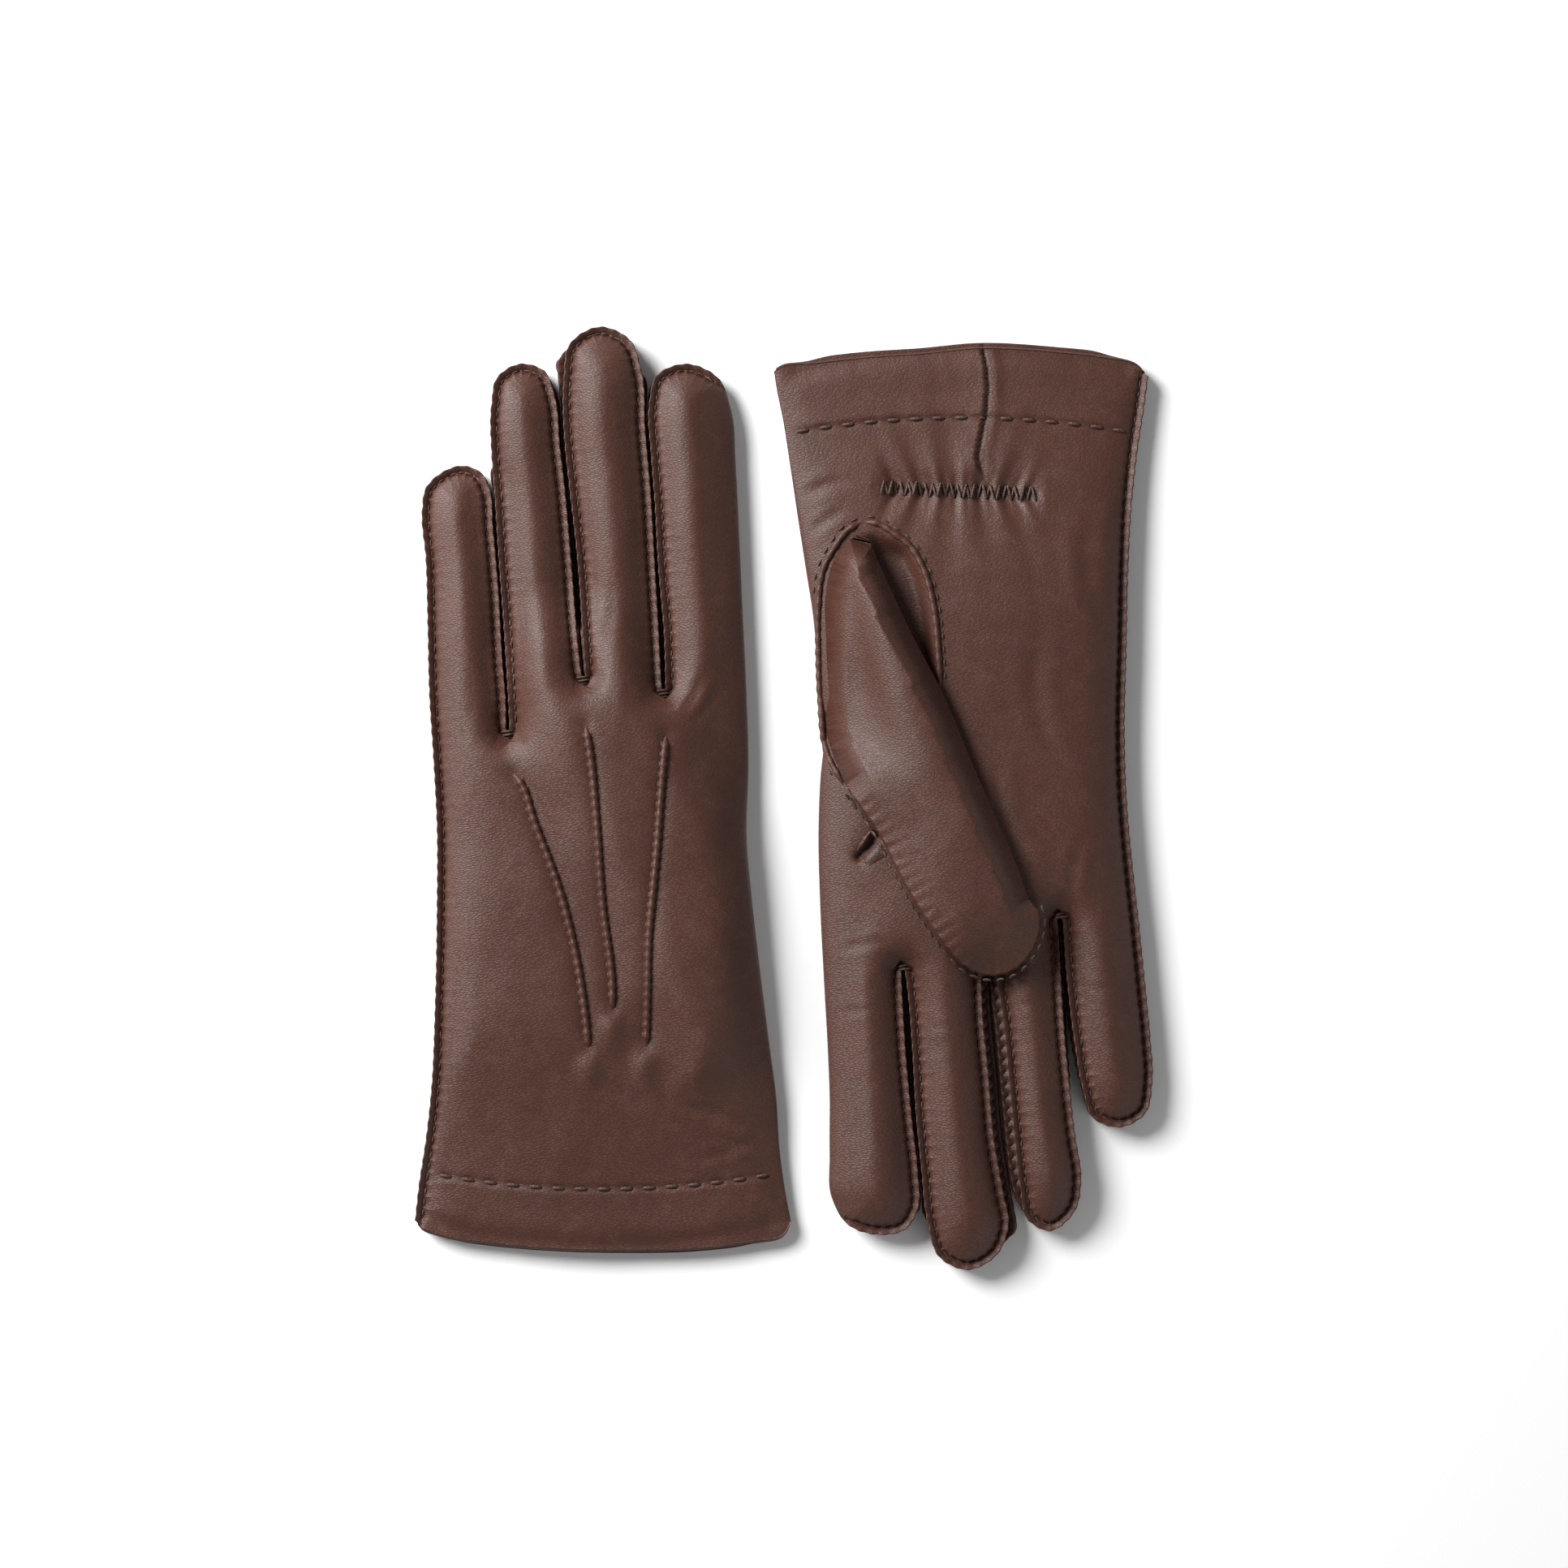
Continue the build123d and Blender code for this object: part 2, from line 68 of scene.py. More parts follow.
HEM_PITCH = 6.1
LINING_DEPTH = 1.5        # outside of the leather to the lining
STRIP_SWELL, WIDE_STRIP_SWELL = 1, 2.6    # how far a side strip bulges, and between ring and middle finger
THUMB_RISE = 3.4          # the folded thumb's seam above the palm
POINT_HALF_WIDTH, POINT_HEIGHT = 1.05, 1.7
RIM_HALF_WIDTH, RIM_HEIGHT = 0.9, 1.2
SEAM_STITCH = (2.5, 0.34)                 # length and radius
HEM_STITCH = (3.5, 0.52)
POINT_STITCH = (1.7, 0.2)
RIM_STITCH = (2.2, 0.28)
CROTCH_STITCH = (3.4, 0.33)
ZIGZAG_RADIUS = 0.36

OUTLINE = {
    "left": {
        "little": [(-51, 7.5), (-50, 16.5), (-48, 29.5), (-46.5, 43), (-45.5, 65), (-45, 91.5), (-45, 113.5),
                   (-46, 133), (-47, 148.5), (-47.5, 168.5), (-48, 186), (-49, 199), (-48, 205), (-44, 209),
                   (-38, 211), (-33, 209), (-30.5, 204.5), (-29.5, 194.5), (-28, 177), (-27, 159.5),
                   (-26, 146.5), (-26, 139.5)],
        "ring": [(-25.5, 139.5), (-26, 150.5), (-27, 166), (-28.5, 186), (-29.5, 201.5), (-30.5, 214.5),
                 (-30.5, 227.5), (-29, 234.5), (-22.5, 238.5), (-16, 236.5), (-13, 230), (-11.5, 216.5),
                 (-10, 203.5), (-8.5, 186), (-7, 168.5), (-5.5, 154)],
        "middle": [(-5, 154), (-6, 168.5), (-7.5, 188), (-9.5, 205.5), (-11, 221), (-11, 234.5),
                   (-9.5, 243.5), (-1, 248.5), (7.5, 244.5), (10.5, 236.5), (11.5, 221), (13, 203.5),
                   (14, 186), (15, 168.5), (16, 150.5)],
        "index": [(16.5, 150.5), (16, 166), (14.5, 183.5), (13.5, 201.5), (12.5, 214.5), (12, 227.5),
                  (14, 235), (22, 238.5), (31, 234.5), (34.5, 225.5), (35.5, 212.5), (36.5, 192.5),
                  (37.5, 170.5), (38.5, 148.5), (39, 131), (38.5, 111), (40, 93.5), (42, 76), (44.5, 56),
                  (46.5, 40.5), (47.5, 25.5), (49.5, 12), (50.5, 7)],
        "cuff": [(50.5, 7), (49, 4), (38.5, 1.5), (25.5, 0), (5.5, -0.5), (-14.5, 0), (-32, 1.5),
                 (-44.5, 3.5), (-49.5, 5.5), (-51, 7.5)],
    },
    "right": {
        "little": [(-50.5, 7), (-49.5, 14.5), (-47.5, 27.5), (-46, 41), (-45, 58.5), (-44.5, 80.5),
                   (-44, 102.5), (-44.5, 120), (-46, 137.5), (-48, 155.5), (-49.5, 170.5), (-51, 186),
                   (-51.5, 197), (-49.5, 206), (-43, 209.5), (-35.5, 207), (-32.5, 199.5), (-30.5, 188.5),
                   (-28.5, 173), (-27.5, 162), (-27, 153)],
        "ring": [(-26, 153), (-27, 168.5), (-28, 184), (-29.5, 199.5), (-31, 212.5), (-32.5, 223.5),
                 (-31, 231.5), (-23.5, 237.5), (-18, 234.5), (-15.5, 225.5), (-14, 212.5), (-12.5, 197),
                 (-11, 181.5), (-9.5, 172), (-8.5, 167.5)],
        "middle": [(-5.5, 167.5), (-6, 179.5), (-7.5, 195), (-9, 212.5), (-11.5, 227), (-13, 235.5),
                   (-10, 243.5), (-1.5, 248), (6, 244.5), (9.5, 234.5), (11, 221.5), (12.5, 206),
                   (13.5, 188.5), (14.5, 175), (15.5, 167)],
        "index": [(16, 167), (15.5, 177.5), (14.5, 192.5), (13, 208), (11.5, 221.5), (11.5, 231.5),
                  (15, 237), (22.5, 238.5), (31, 235.5), (35, 228.5), (35.5, 217), (35.5, 201.5),
                  (36, 188.5), (37, 170.5), (38, 151), (38.5, 129), (38, 115.5), (37, 104.5), (38.5, 89.5),
                  (40, 71.5), (42, 58.5), (44, 45.5), (46, 32), (48, 19), (50, 9), (50.5, 5.5)],
        "cuff": [(50.5, 5.5), (49, 4.5), (40.5, 3.5), (26.5, 2), (11.5, 1), (-5, -0.5), (-25.5, 0.5),
                 (-39, 2), (-47.5, 4), (-50.5, 7)],
    },
}

# The thumb folded across the palm: sewn in along its foot, seamed on one side, folded on the other.
THUMB = {
    "foot": [(26, 49), (31.5, 52.5), (34.5, 57), (36.5, 65), (37, 78.5), (37, 91.5), (36, 104.5),
             (31.5, 117)],
    "seam": [(31.5, 117), (26.5, 123.5), (21.5, 131), (17, 140), (10, 152), (3, 161.5), (-1.5, 166),
             (-7, 168), (-12.5, 167), (-17.5, 162.5), (-20, 157), (-20, 151.5), (-17.5, 147.5)],
    "crease": [(-17.5, 147.5), (-14.5, 139), (-9, 126.5), (-2.5, 111.5), (5, 93.5), (14, 76), (20.5, 62),
               (26, 49)],
}
HOLE_RIM = {
    "outer": [(26.5, 46.5), (30.5, 48.5), (34, 53), (37, 58.5), (38.5, 69.5), (38.5, 80.5), (38, 93.5),
              (36, 109), (31.5, 117.5)],
    "inner": [(26.5, 46.5), (22.5, 47), (18.5, 49.5), (14, 53), (10.5, 59), (7.5, 70.5), (6.5, 80.5),
              (6, 91.5)],
}
QUIRK = [(28.5, 135.5), (24, 129), (20, 136), (25, 139)]
POINTS = [
    [(-24, 128), (-22, 125.5), (-18.5, 115.5), (-12, 98), (-7.5, 80.5), (-4.5, 60.5), (-4, 53.5)],
    [(-4.5, 141), (-3.5, 135.5), (-1.5, 115.5), (0, 93.5), (2.5, 71.5), (2.5, 64)],
    [(17, 138.5), (16, 126.5), (14.5, 106.5), (12.5, 84.5), (12, 67), (11.5, 54)],
]
ZIGZAG = ((22, 37), (-20, 39))            # ends of the wrist gather's centre line
ZIGZAG_SWING, ZIGZAG_STROKES = 2.1, 38
PLEAT = [(-5.5, -0.5), (-6.5, 5.5), (-6.5, 14.5), (-5, 23.5), (-4, 29), (-6.5, 36.5)]


# ---------------------------------------------------------------- plan curves
def resample(line, step):
    """The same polyline with evenly spaced points."""
    run = np.concatenate([[0], np.cumsum(np.linalg.norm(np.diff(line, axis=0), axis=1))])
    at = np.linspace(0, run[-1], max(3, int(round(run[-1] / step)) + 1))
    return np.column_stack([np.interp(at, run, line[:, k]) for k in range(line.shape[1])])


def curve(points, step):
    """A smooth curve through given points."""
    p = np.array(points, float)
    gaps = np.linalg.norm(np.diff(p, axis=0), axis=1)
    slopes = np.diff(p, axis=0) / gaps[:, None]
    before, after = gaps[:-1, None], gaps[1:, None]
    inner = (slopes[:-1] * after + slopes[1:] * before) / (before + after)
    tangents = np.vstack([slopes[:1], inner, slopes[-1:]])
    t = np.linspace(0, 1, 24, endpoint=False)[:, None]
    spans = []
    for a, b, ta, tb, gap in zip(p, p[1:], tangents, tangents[1:], gaps):
        spans.append((2 * t**3 - 3 * t**2 + 1) * a + (t**3 - 2 * t**2 + t) * gap * ta
                     + (3 * t**2 - 2 * t**3) * b + (t**3 - t**2) * gap * tb)
    return resample(np.vstack([*spans, p[-1:]]), step)


def ramp(x, low, high):
    """0 below low, 1 above high, smooth between."""
    t = np.clip((x - low) / (high - low), 0, 1)
    return t * t * (3 - 2 * t)


def soft_max(a, b, width):
    return 0.5 * (a + b + np.sqrt((a - b) ** 2 + width**2))


class Outline:
    """A closed outline of named runs, with what is sewn, folded or open along it."""

    def __init__(self, runs, describe):
        parts, names, along, total = [], [], [], []
        for name, points in runs.items():
            line = curve(points, OUTLINE_STEP)[:-1]
            parts.append(line)
            names += [name] * len(line)
            along.append(np.arange(len(line)) * OUTLINE_STEP)
            total.append(np.full(len(line), len(line) * OUTLINE_STEP))
        self.p = np.vstack(parts)
        self.name = np.array(names)
        self.along, self.total = np.concatenate(along), np.concatenate(total)
        self.s = np.arange(len(self.p)) * OUTLINE_STEP
        self.turn()
        self.fold, self.open, self.side, self.shrink = describe(self)
        self.p = self.p + self.n * self.shrink[:, None]
        sewn = (1 - self.fold) * (1 - self.open)
        self.p = self.p - self.n * (0.08 * sewn * np.cos(2 * math.pi * self.s / SEAM_PITCH))[:, None]
        self.turn()
        self.bulge = self.half_gaps()

    def half_gaps(self):
        """How far each side strip may swell before it meets the next finger's."""
        swell = np.zeros(len(self.p))
        for name in np.unique(self.name):
            own, other = self.name == name, (self.name != name) & (self.side > 0)
            if not other.any():
                continue
            off = self.p[own][:, None] - self.p[other][None]
            r = np.sqrt((off**2).sum(2))
            half = r.min(1) / 2 - 0.12
            beside = self.name[other][r.argmin(1)]
            wide = (beside == "middle") if name == "ring" else (beside == "ring") & (name == "middle")
            most = np.where(wide, WIDE_STRIP_SWELL, STRIP_SWELL)
            swell[own] = np.clip(half, 0.02, most) * (1 - 0.95 * ramp(half / most, 0.9, 1.9))
        return swell

    def turn(self):
        """Tangents and inward normals of a clockwise outline."""
        step = np.roll(self.p, -1, axis=0) - np.roll(self.p, 1, axis=0)
        self.t = step / np.linalg.norm(step, axis=1)[:, None]
        self.n = np.column_stack([self.t[:, 1], -self.t[:, 0]])

    def inside(self, q):
        a, b = self.p, np.roll(self.p, -1, axis=0)
        odd = np.zeros(len(q), bool)
        for (ax, ay), (bx, by) in zip(a, b):
            if ay == by:
                continue
            crossed = (ay > q[:, 1]) != (by > q[:, 1])
            odd ^= crossed & (q[:, 0] < (bx - ax) * (q[:, 1] - ay) / (by - ay) + ax)
        return odd


class Field:
    """What the outline says at a set of plan points: distance, nearest sample, and smooth averages."""

    def __init__(self, outline, q, values):
        closed = np.flatnonzero(outline.open < 0.5)
        edge = outline.p[closed]
        n = len(q)
        self.q = q
        self.d, self.i, self.hold = np.zeros(n), np.zeros(n, int), np.zeros(n)
        self.mean = {k: np.zeros(n) for k in values}
        for a in range(0, n, 3000):
            block = slice(a, a + 3000)
            off = q[block, None, :] - edge[None]
            r = np.sqrt((off**2).sum(2))
            near = r.argmin(1)
            rows = np.arange(len(near))
            slide = (off[rows, near] * outline.t[closed[near]]).sum(1)
            slide = np.clip(slide, -OUTLINE_STEP / 2, OUTLINE_STEP / 2)
            self.d[block] = np.sqrt(np.maximum(r[rows, near] ** 2 - slide**2, 0))
            self.i[block] = closed[near]
            pull = np.exp(-r / SOFTNESS)
            self.hold[block] = pull.sum(1) * OUTLINE_STEP / (2 * SOFTNESS)
            share = 1 / (1 + (r / 5) ** 4)
            share /= share.sum(1)[:, None]
            for k, v in values.items():
                self.mean[k][block] = share @ v[closed]
        self.s = outline.s[self.i]
        self.fold = outline.fold[self.i]
        if "fold" in self.mean:
            self.fold = self.fold + (self.mean["fold"] - self.fold) * ramp(self.d, 3, 12)


def triangulate(outline, fine):
    """Plan points and triangles that fill the outline, denser at its edge and where fine() says."""
    loop = outline.p
    points = [loop]
    for distance in RING_DISTANCES:
        stride = 1 if distance < 3 else 2
        ring = (outline.p + outline.n * distance)[::stride]
        far = Field(outline, ring, {}).d
        points.append(ring[(far > distance - 0.12) & outline.inside(ring)])
    low, high = loop.min(0), loop.max(0)
    for step, dense in ((COARSE_GRID, False), (FINE_GRID, True)):
        xs = np.arange(low[0], high[0], step)
        ys = np.arange(low[1], high[1], step * 0.866)
        grid = np.array([(x + (row % 2) * step / 2, y) for row, y in enumerate(ys) for x in xs])
        grid = grid[fine(grid) == dense]
        grid = grid[outline.inside(grid)]
        gap = RING_DISTANCES[-1] + 0.6
        open_edge = outline.p[outline.open > 0.5]
        keep = Field(outline, grid, {}).d > gap
        if len(open_edge):
            near_open = np.array([np.sqrt(((open_edge - g) ** 2).sum(1)).min() for g in grid])
            keep &= near_open > 0.6
        points.append(grid[keep])
    allp = np.vstack(points)
    edges = [(i, (i + 1) % len(loop)) for i in range(len(loop))]
    verts, _, faces, origin, _, _ = delaunay_2d_cdt([tuple(p) for p in allp], edges, [], 1, 1e-5)
    where = {}
    for new, olds in enumerate(origin):
        for old in olds:
            where[old] = new
    border = np.array([where[i] for i in range(len(loop))])
    return np.array([tuple(v) for v in verts]), [tuple(f) for f in faces], border


# ---------------------------------------------------------------- relief that the leather takes
def waves(q, seed, count, shortest, longest):
    """Gentle irregular swells: plane waves of random length and heading, about -1 to 1."""
    draw = np.random.default_rng(seed)
    total = np.zeros(len(q))
    for _ in range(count):
        length = draw.uniform(shortest, longest)
        heading = draw.uniform(-math.pi, math.pi) / 2
        phase = draw.uniform(0, 2 * math.pi)
        along = q[:, 0] * math.cos(heading) + q[:, 1] * math.sin(heading)
        total += np.sin(2 * math.pi * along / length + phase)
    return total / math.sqrt(count)


def crease(q, centre, heading, length, width, depth):
    """One wrinkle: a valley with a soft lip beside it."""
    a = math.radians(heading)
    off = q - np.array(centre)
    along = off[:, 0] * math.cos(a) + off[:, 1] * math.sin(a)
    across = -off[:, 0] * math.sin(a) + off[:, 1] * math.cos(a)
    bend = across - 0.012 * along**2
    fade = np.exp(-((along / length) ** 4))
    valley = -np.exp(-((bend / width) ** 2))
    lips = 0.55 * np.exp(-(((np.abs(bend) - 2.1 * width) / (1.1 * width)) ** 2))
    return depth * fade * (valley + lips)


def line_distance(q, line):
    """Distance from each point to a sampled line, how far along it, and on which side."""
    d, at, side = np.zeros(len(q)), np.zeros(len(q)), np.zeros(len(q))
    tangent = np.gradient(line, axis=0)
    for a in range(0, len(q), 4000):
        block = slice(a, a + 4000)
        off = q[block, None, :] - line[None]
        r = np.sqrt((off**2).sum(2))
        near = r.argmin(1)
        rows = np.arange(len(near))
        d[block] = r[rows, near]
        at[block] = near
        cross = tangent[near, 0] * off[rows, near, 1] - tangent[near, 1] * off[rows, near, 0]
        side[block] = np.sign(cross)
    return d, at / (len(line) - 1), side


def hem_line(side, u):
    return HEM_EDGE[side] + HEM_BOW * (u / 47.5) ** 2


def hem_relief(side, q):
    """The turned hem is thicker, and its stitches pull a shallow groove."""
    below = hem_line(side, q[:, 0]) - q[:, 1]
    pull = 0.7 + 0.3 * np.cos(2 * math.pi * q[:, 0] / HEM_PITCH)
    rolled = np.maximum(q[:, 1] - 7 * (q[:, 0] / 50.5) ** 2, 0)
    return (0.35 * ramp(below, -0.4, 1.2) - 0.45 * pull * np.exp(-((below / 0.9) ** 2))
            - 1.1 * np.exp(-((rolled / 3.2) ** 2)))


def gather_relief(q):
    """The elastic draws the palm in along the zigzag, and folds fan out from it."""
    (u0, v0), (u1, v1) = ZIGZAG
    centre_v = v0 + (q[:, 0] - u0) / (u1 - u0) * (v1 - v0)
    above = q[:, 1] - centre_v
    window = ramp(q[:, 0], u1 - 3, u1 + 4) * ramp(-q[:, 0], -u0 - 3, -u0 + 4)
    fan = q[:, 0] / (1 + np.abs(above) / 30)
    folds = np.cos(2 * math.pi * fan / 3.1 + 0.8 * np.sin(fan / 4))
    broad = np.cos(2 * math.pi * fan / 7.3 + 1.1)
    near, far = np.exp(-np.abs(above) / 3.2), np.exp(-np.abs(above) / 11)
    return window * (-1.5 * np.exp(-((above / 4.5) ** 2)) + 0.42 * near * folds + 0.5 * far * broad)


def pleat_relief(q):
    """The thumb's side of the cuff laps over the other in a thin pleat."""
    line = curve(PLEAT, 0.6)
    d, at, side = line_distance(q, line)
    fade = 1 - ramp(at, 0.85, 1.0) * 0.8
    across = d * side
    lap = 0.85 * (across <= 0) * np.exp(across / 3.5)
    groove = 0.55 * np.exp(-(((across - 0.25) / 0.5) ** 2))
    swell = 0.3 * np.exp(-(((across - 3) / 1.3) ** 2))
    return fade * (lap - groove + swell)


def points_relief(q):
    """Beside each sewn point the back sinks a little, and it puffs out past the ends."""
    total = np.zeros(len(q))
    for points in POINTS:
        line = curve(points, 1.0)
        d, at, _ = line_distance(q, line)
        total -= 0.5 * np.exp(-((d / 3.4) ** 2)) + 0.45 * np.exp(-((d / 1.3) ** 2))
        end = line[-1] + (line[-1] - line[-4]) / 3 * 4.0
        puff = np.sqrt(((q - end) / np.array([3.2, 5.5])) ** 2 @ np.ones(2))
        total += 1.3 * np.exp(-(puff**2))
    return total


def thumb_hollow(q):
    """The palm sinks beside the folded thumb, inside the hole's rim, and at the small gusset's slit."""
    line = curve(HOLE_RIM["inner"][1:], 0.8)
    d, at, side = line_distance(q, line)
    inside = (side < 0) & (at > 0.001) & (at < 0.999)
    fade = ramp(q[:, 1], 48, 56) * (1 - ramp(q[:, 1], 80, 95))
    hollow = -4.2 * inside * fade * ramp(d, 0.4, 3.6) * (1 - ramp(d, 10, 17))
    left, top, right, bottom = np.array(QUIRK, float)
    slit = resample(np.array([0.7 * left + 0.3 * bottom, 0.7 * top + 0.3 * right]), 0.4)
    d, at, _ = line_distance(q, slit)
    return hollow - 0.5 * np.exp(-((d / 3.4) ** 2)) - 2.0 * np.exp(-((d / 1.1) ** 2))


def palm_relief(side, q):
    pleat = pleat_relief(q) if side == "right" else 0
    return gather_relief(q) + hem_relief(side, q) + thumb_hollow(q) + pleat


WRINKLES = {    # centre, heading, length, width, depth
    "left_back": [((36, 34), 150, 12, 1.5, 0.7), ((39, 28), 165, 9, 1.2, 0.5), ((33, 26), 20, 8, 1.3, 0.4),
                  ((25, 150), 62, 6, 1.0, 0.5), ((28, 146), 50, 5, 0.9, 0.4), ((31, 176), 8, 6, 0.8, 0.3),
                  ((-36, 150), 95, 12, 1.6, 0.3), ((2, 170), 80, 10, 1.4, 0.25),
                  ((-40, 60), 80, 16, 2.2, 0.4)],
    "right_palm": [((41, 38), 20, 9, 1.4, 0.7), ((38, 47), 35, 8, 1.2, 0.5), ((-34, 60), 98, 16, 2.2, 0.5),
                   ((-20, 96), 100, 18, 2.2, 0.4), ((-12, 128), 112, 14, 1.8, 0.5),
                   ((-30, 140), 80, 9, 1.4, 0.4),
                   ((26, 160), 10, 6, 1.0, 0.4), ((27, 178), 5, 6, 0.9, 0.3), ((3, 182), 2, 6, 0.9, 0.3),
                   ((-38, 172), 175, 5, 0.9, 0.3), ((-20, 176), 4, 5, 0.9, 0.3)],
}


FACE_SEEDS = {"left_back": 11, "left_palm": 12, "right_palm": 13, "right_back": 14}
SWELLS = ((0.24, 0, 9, 34, 80), (0.055, 40, 14, 10, 22), (0.022, 80, 20, 3.4, 6.5))   # height, seed, waves()
WRINKLE_DEPTH = 0.65


def relief(side, face, q):
    """Everything that stands out of or into the smooth pillow on one face of a glove."""
    total = np.zeros(len(q))
    for height, seed, count, shortest, longest in SWELLS:
        total += height * waves(q, FACE_SEEDS[f"{side}_{face}"] + seed, count, shortest, longest)
    for wrinkle in WRINKLES.get(f"{side}_{face}", []):
        total += WRINKLE_DEPTH * crease(q, *wrinkle)
    if face == "palm":
        return total + palm_relief(side, q)
    return total + points_relief(q) + hem_relief(side, q)


# ---------------------------------------------------------------- the sewn pillow
class Pillow:
    """Two sheets sewn or folded together round an outline.  Level is the height of a seam's middle."""

    def __init__(self, outline, level_up, level_low, crown_up, crown_low, ground=None, extra_up=None,
                 extra_low=None, lift=None, fold_round=1.1, belly=0.5, crisp=0.0, puckers=0.25):
        self.o = outline
        self.puckers = puckers
        self.fold_round, self.belly, self.crisp = fold_round, belly, crisp    # at folds, overall, at a crease
        self.levels = {"up": level_up, "low": level_low, "fold": outline.fold}
        self.crown_up, self.crown_low = crown_up, crown_low
        self.ground, self.lift = ground, lift
        self.extra_up, self.extra_low = extra_up, extra_low

    def field(self, q):
        return Field(self.o, q, self.levels)

    def swell(self, f):
        """0 at a stitch line or fold, rising to about 1 away from every edge."""
        past = np.maximum(f.d - FLANGE * (1 - f.fold), 0)
        quick = np.sqrt(1 - np.exp(-past / (1.2 + self.fold_round * f.fold)))
        slow = 1.1 * (1 - np.exp(-past / 5.5))
        held = 0.5 * np.minimum(f.hold, 1.2) * (1 - 0.7 * self.crisp * f.fold)
        return (quick + (slow - quick) * self.belly * (1 - self.crisp * f.fold)) * (1 - held)

    def seam(self, f):
        """The raw flange outside the stitches, the dip at each stitch and the puckers inside."""
        past = f.d - FLANGE * (1 - f.fold)
        sewn = 1 - f.fold
        beat = np.cos(2 * math.pi * f.s / SEAM_PITCH)
        lip = 0.85 * np.clip(-past / FLANGE, 0, 1) * (1 + 0.25 * beat)
        dip = -0.75 * np.exp(-((past / 0.42) ** 2)) * (0.65 - 0.35 * beat)
        inner = np.maximum(past, 0)
        uneven = 0.75 + 0.5 * np.sin(f.s / 5.3) * np.sin(f.s / 13.1)
        pucker = self.puckers * uneven * beat * np.exp(-inner / 1.9) * (1 - np.exp(-inner / 0.5))
        return sewn * (lip + dip + pucker)

    def settle(self, f):
        """How much relief shows: none right at an edge."""
        return ramp(f.d, 1.2, 7.0)

    def upper(self, f):
        z = f.mean["up"] + LEATHER * (1 - f.fold) + self.crown_up(f.q) * self.swell(f) + self.seam(f)
        if self.extra_up is not None:
            z = z + self.settle(f) * self.extra_up(f.q)
        return z + (self.lift(f.q) if self.lift else 0)

    def lower(self, f):
        z = f.mean["low"] - LEATHER * (1 - f.fold) - self.crown_low(f.q) * self.swell(f) - self.seam(f)
        if self.extra_low is not None:
            z = z - self.settle(f) * self.extra_low(f.q)
        if self.ground is not None:
            z = soft_max(z, self.ground(f.q), 0.5)
        return z


# ---------------------------------------------------------------- meshes
def place(side, xyz):
    """Plan millimetres to metres in the shared frame."""
    x0, y0, way = PLACE[side]
    xyz = np.asarray(xyz, float)
    return np.column_stack([x0 + way * xyz[:, 0], y0 + way * xyz[:, 1], xyz[:, 2]]) / 1000


def make_object(name, verts, faces, material, normals=None):
    mesh = bpy.data.meshes.new(name)
    mesh.from_pydata([tuple(v) for v in verts], [], [tuple(int(i) for i in f) for f in faces])
    mesh.validate()
    mesh.shade_smooth()
    if normals is not None:
        mesh.normals_split_custom_set_from_vertices([tuple(n) for n in normals])
    mesh.materials.append(material)
    obj = bpy.data.objects.new(name, mesh)
    bpy.context.scene.collection.objects.link(obj)
    return obj


def vertex_normals(verts, faces):
    """Smooth normals, weighted by face area."""
    normals = np.zeros((len(verts), 3))
    for size in (3, 4):
        group = np.array([f for f in faces if len(f) == size], int).reshape(-1, size)
        if not len(group):
            continue
        a, b, c = verts[group[:, 0]], verts[group[:, 1]], verts[group[:, 2]]
        across = np.cross(b - a, c - a)
        if size == 4:
            across = across + np.cross(c - a, verts[group[:, 3]] - a)
        for k in range(size):
            np.add.at(normals, group[:, k], across)
    return normals / np.maximum(np.linalg.norm(normals, axis=1)[:, None], 1e-12)


def weld(verts, faces, within=0.004):
    """Joins vertices that share a place and drops the faces that vanish."""
    keys = np.round(verts / within).astype(np.int64)
    _, first, back = np.unique(keys, axis=0, return_index=True, return_inverse=True)
    back = back.reshape(-1)
    kept = []
    origin = []
    for k, f in enumerate(faces):
        ring = []
        for i in (back[j] for j in f):
            if i not in ring:
                ring.append(i)
        if len(ring) > 2:
            kept.append(tuple(ring))
            origin.append(k)
    return verts[first], kept, origin


class Builder:
    """Collects labelled faces in plan millimetres, then makes one object per label with shared normals."""

    def __init__(self, side):
        self.side, self.count = side, 0
        self.verts, self.faces, self.labels = [], [], []

    def add(self, verts):
        start = self.count
        self.verts.append(np.asarray(verts, float))
        self.count += len(verts)
        return start

    def face(self, ring, label):
        self.faces.append(tuple(int(i) for i in ring))
        self.labels.append(label)

    def build(self, materials):
        verts, faces, origin = weld(np.vstack(self.verts), self.faces)
        labels = [self.labels[k] for k in origin]
        verts = place(self.side, verts)
        normals = vertex_normals(verts, faces)
        groups = {}
        for f, label in zip(faces, labels):
            groups.setdefault(label, []).append(f)
        made = {}
        for label, group in groups.items():
            used = np.unique(np.concatenate([np.array(f) for f in group]))
            new = np.full(len(verts), -1)
            new[used] = np.arange(len(used))
            rings = [new[list(f)] for f in group]
            made[label] = make_object(f"{self.side}_{label}", verts[used], rings, materials(label),
                                      normals[used])
        return made


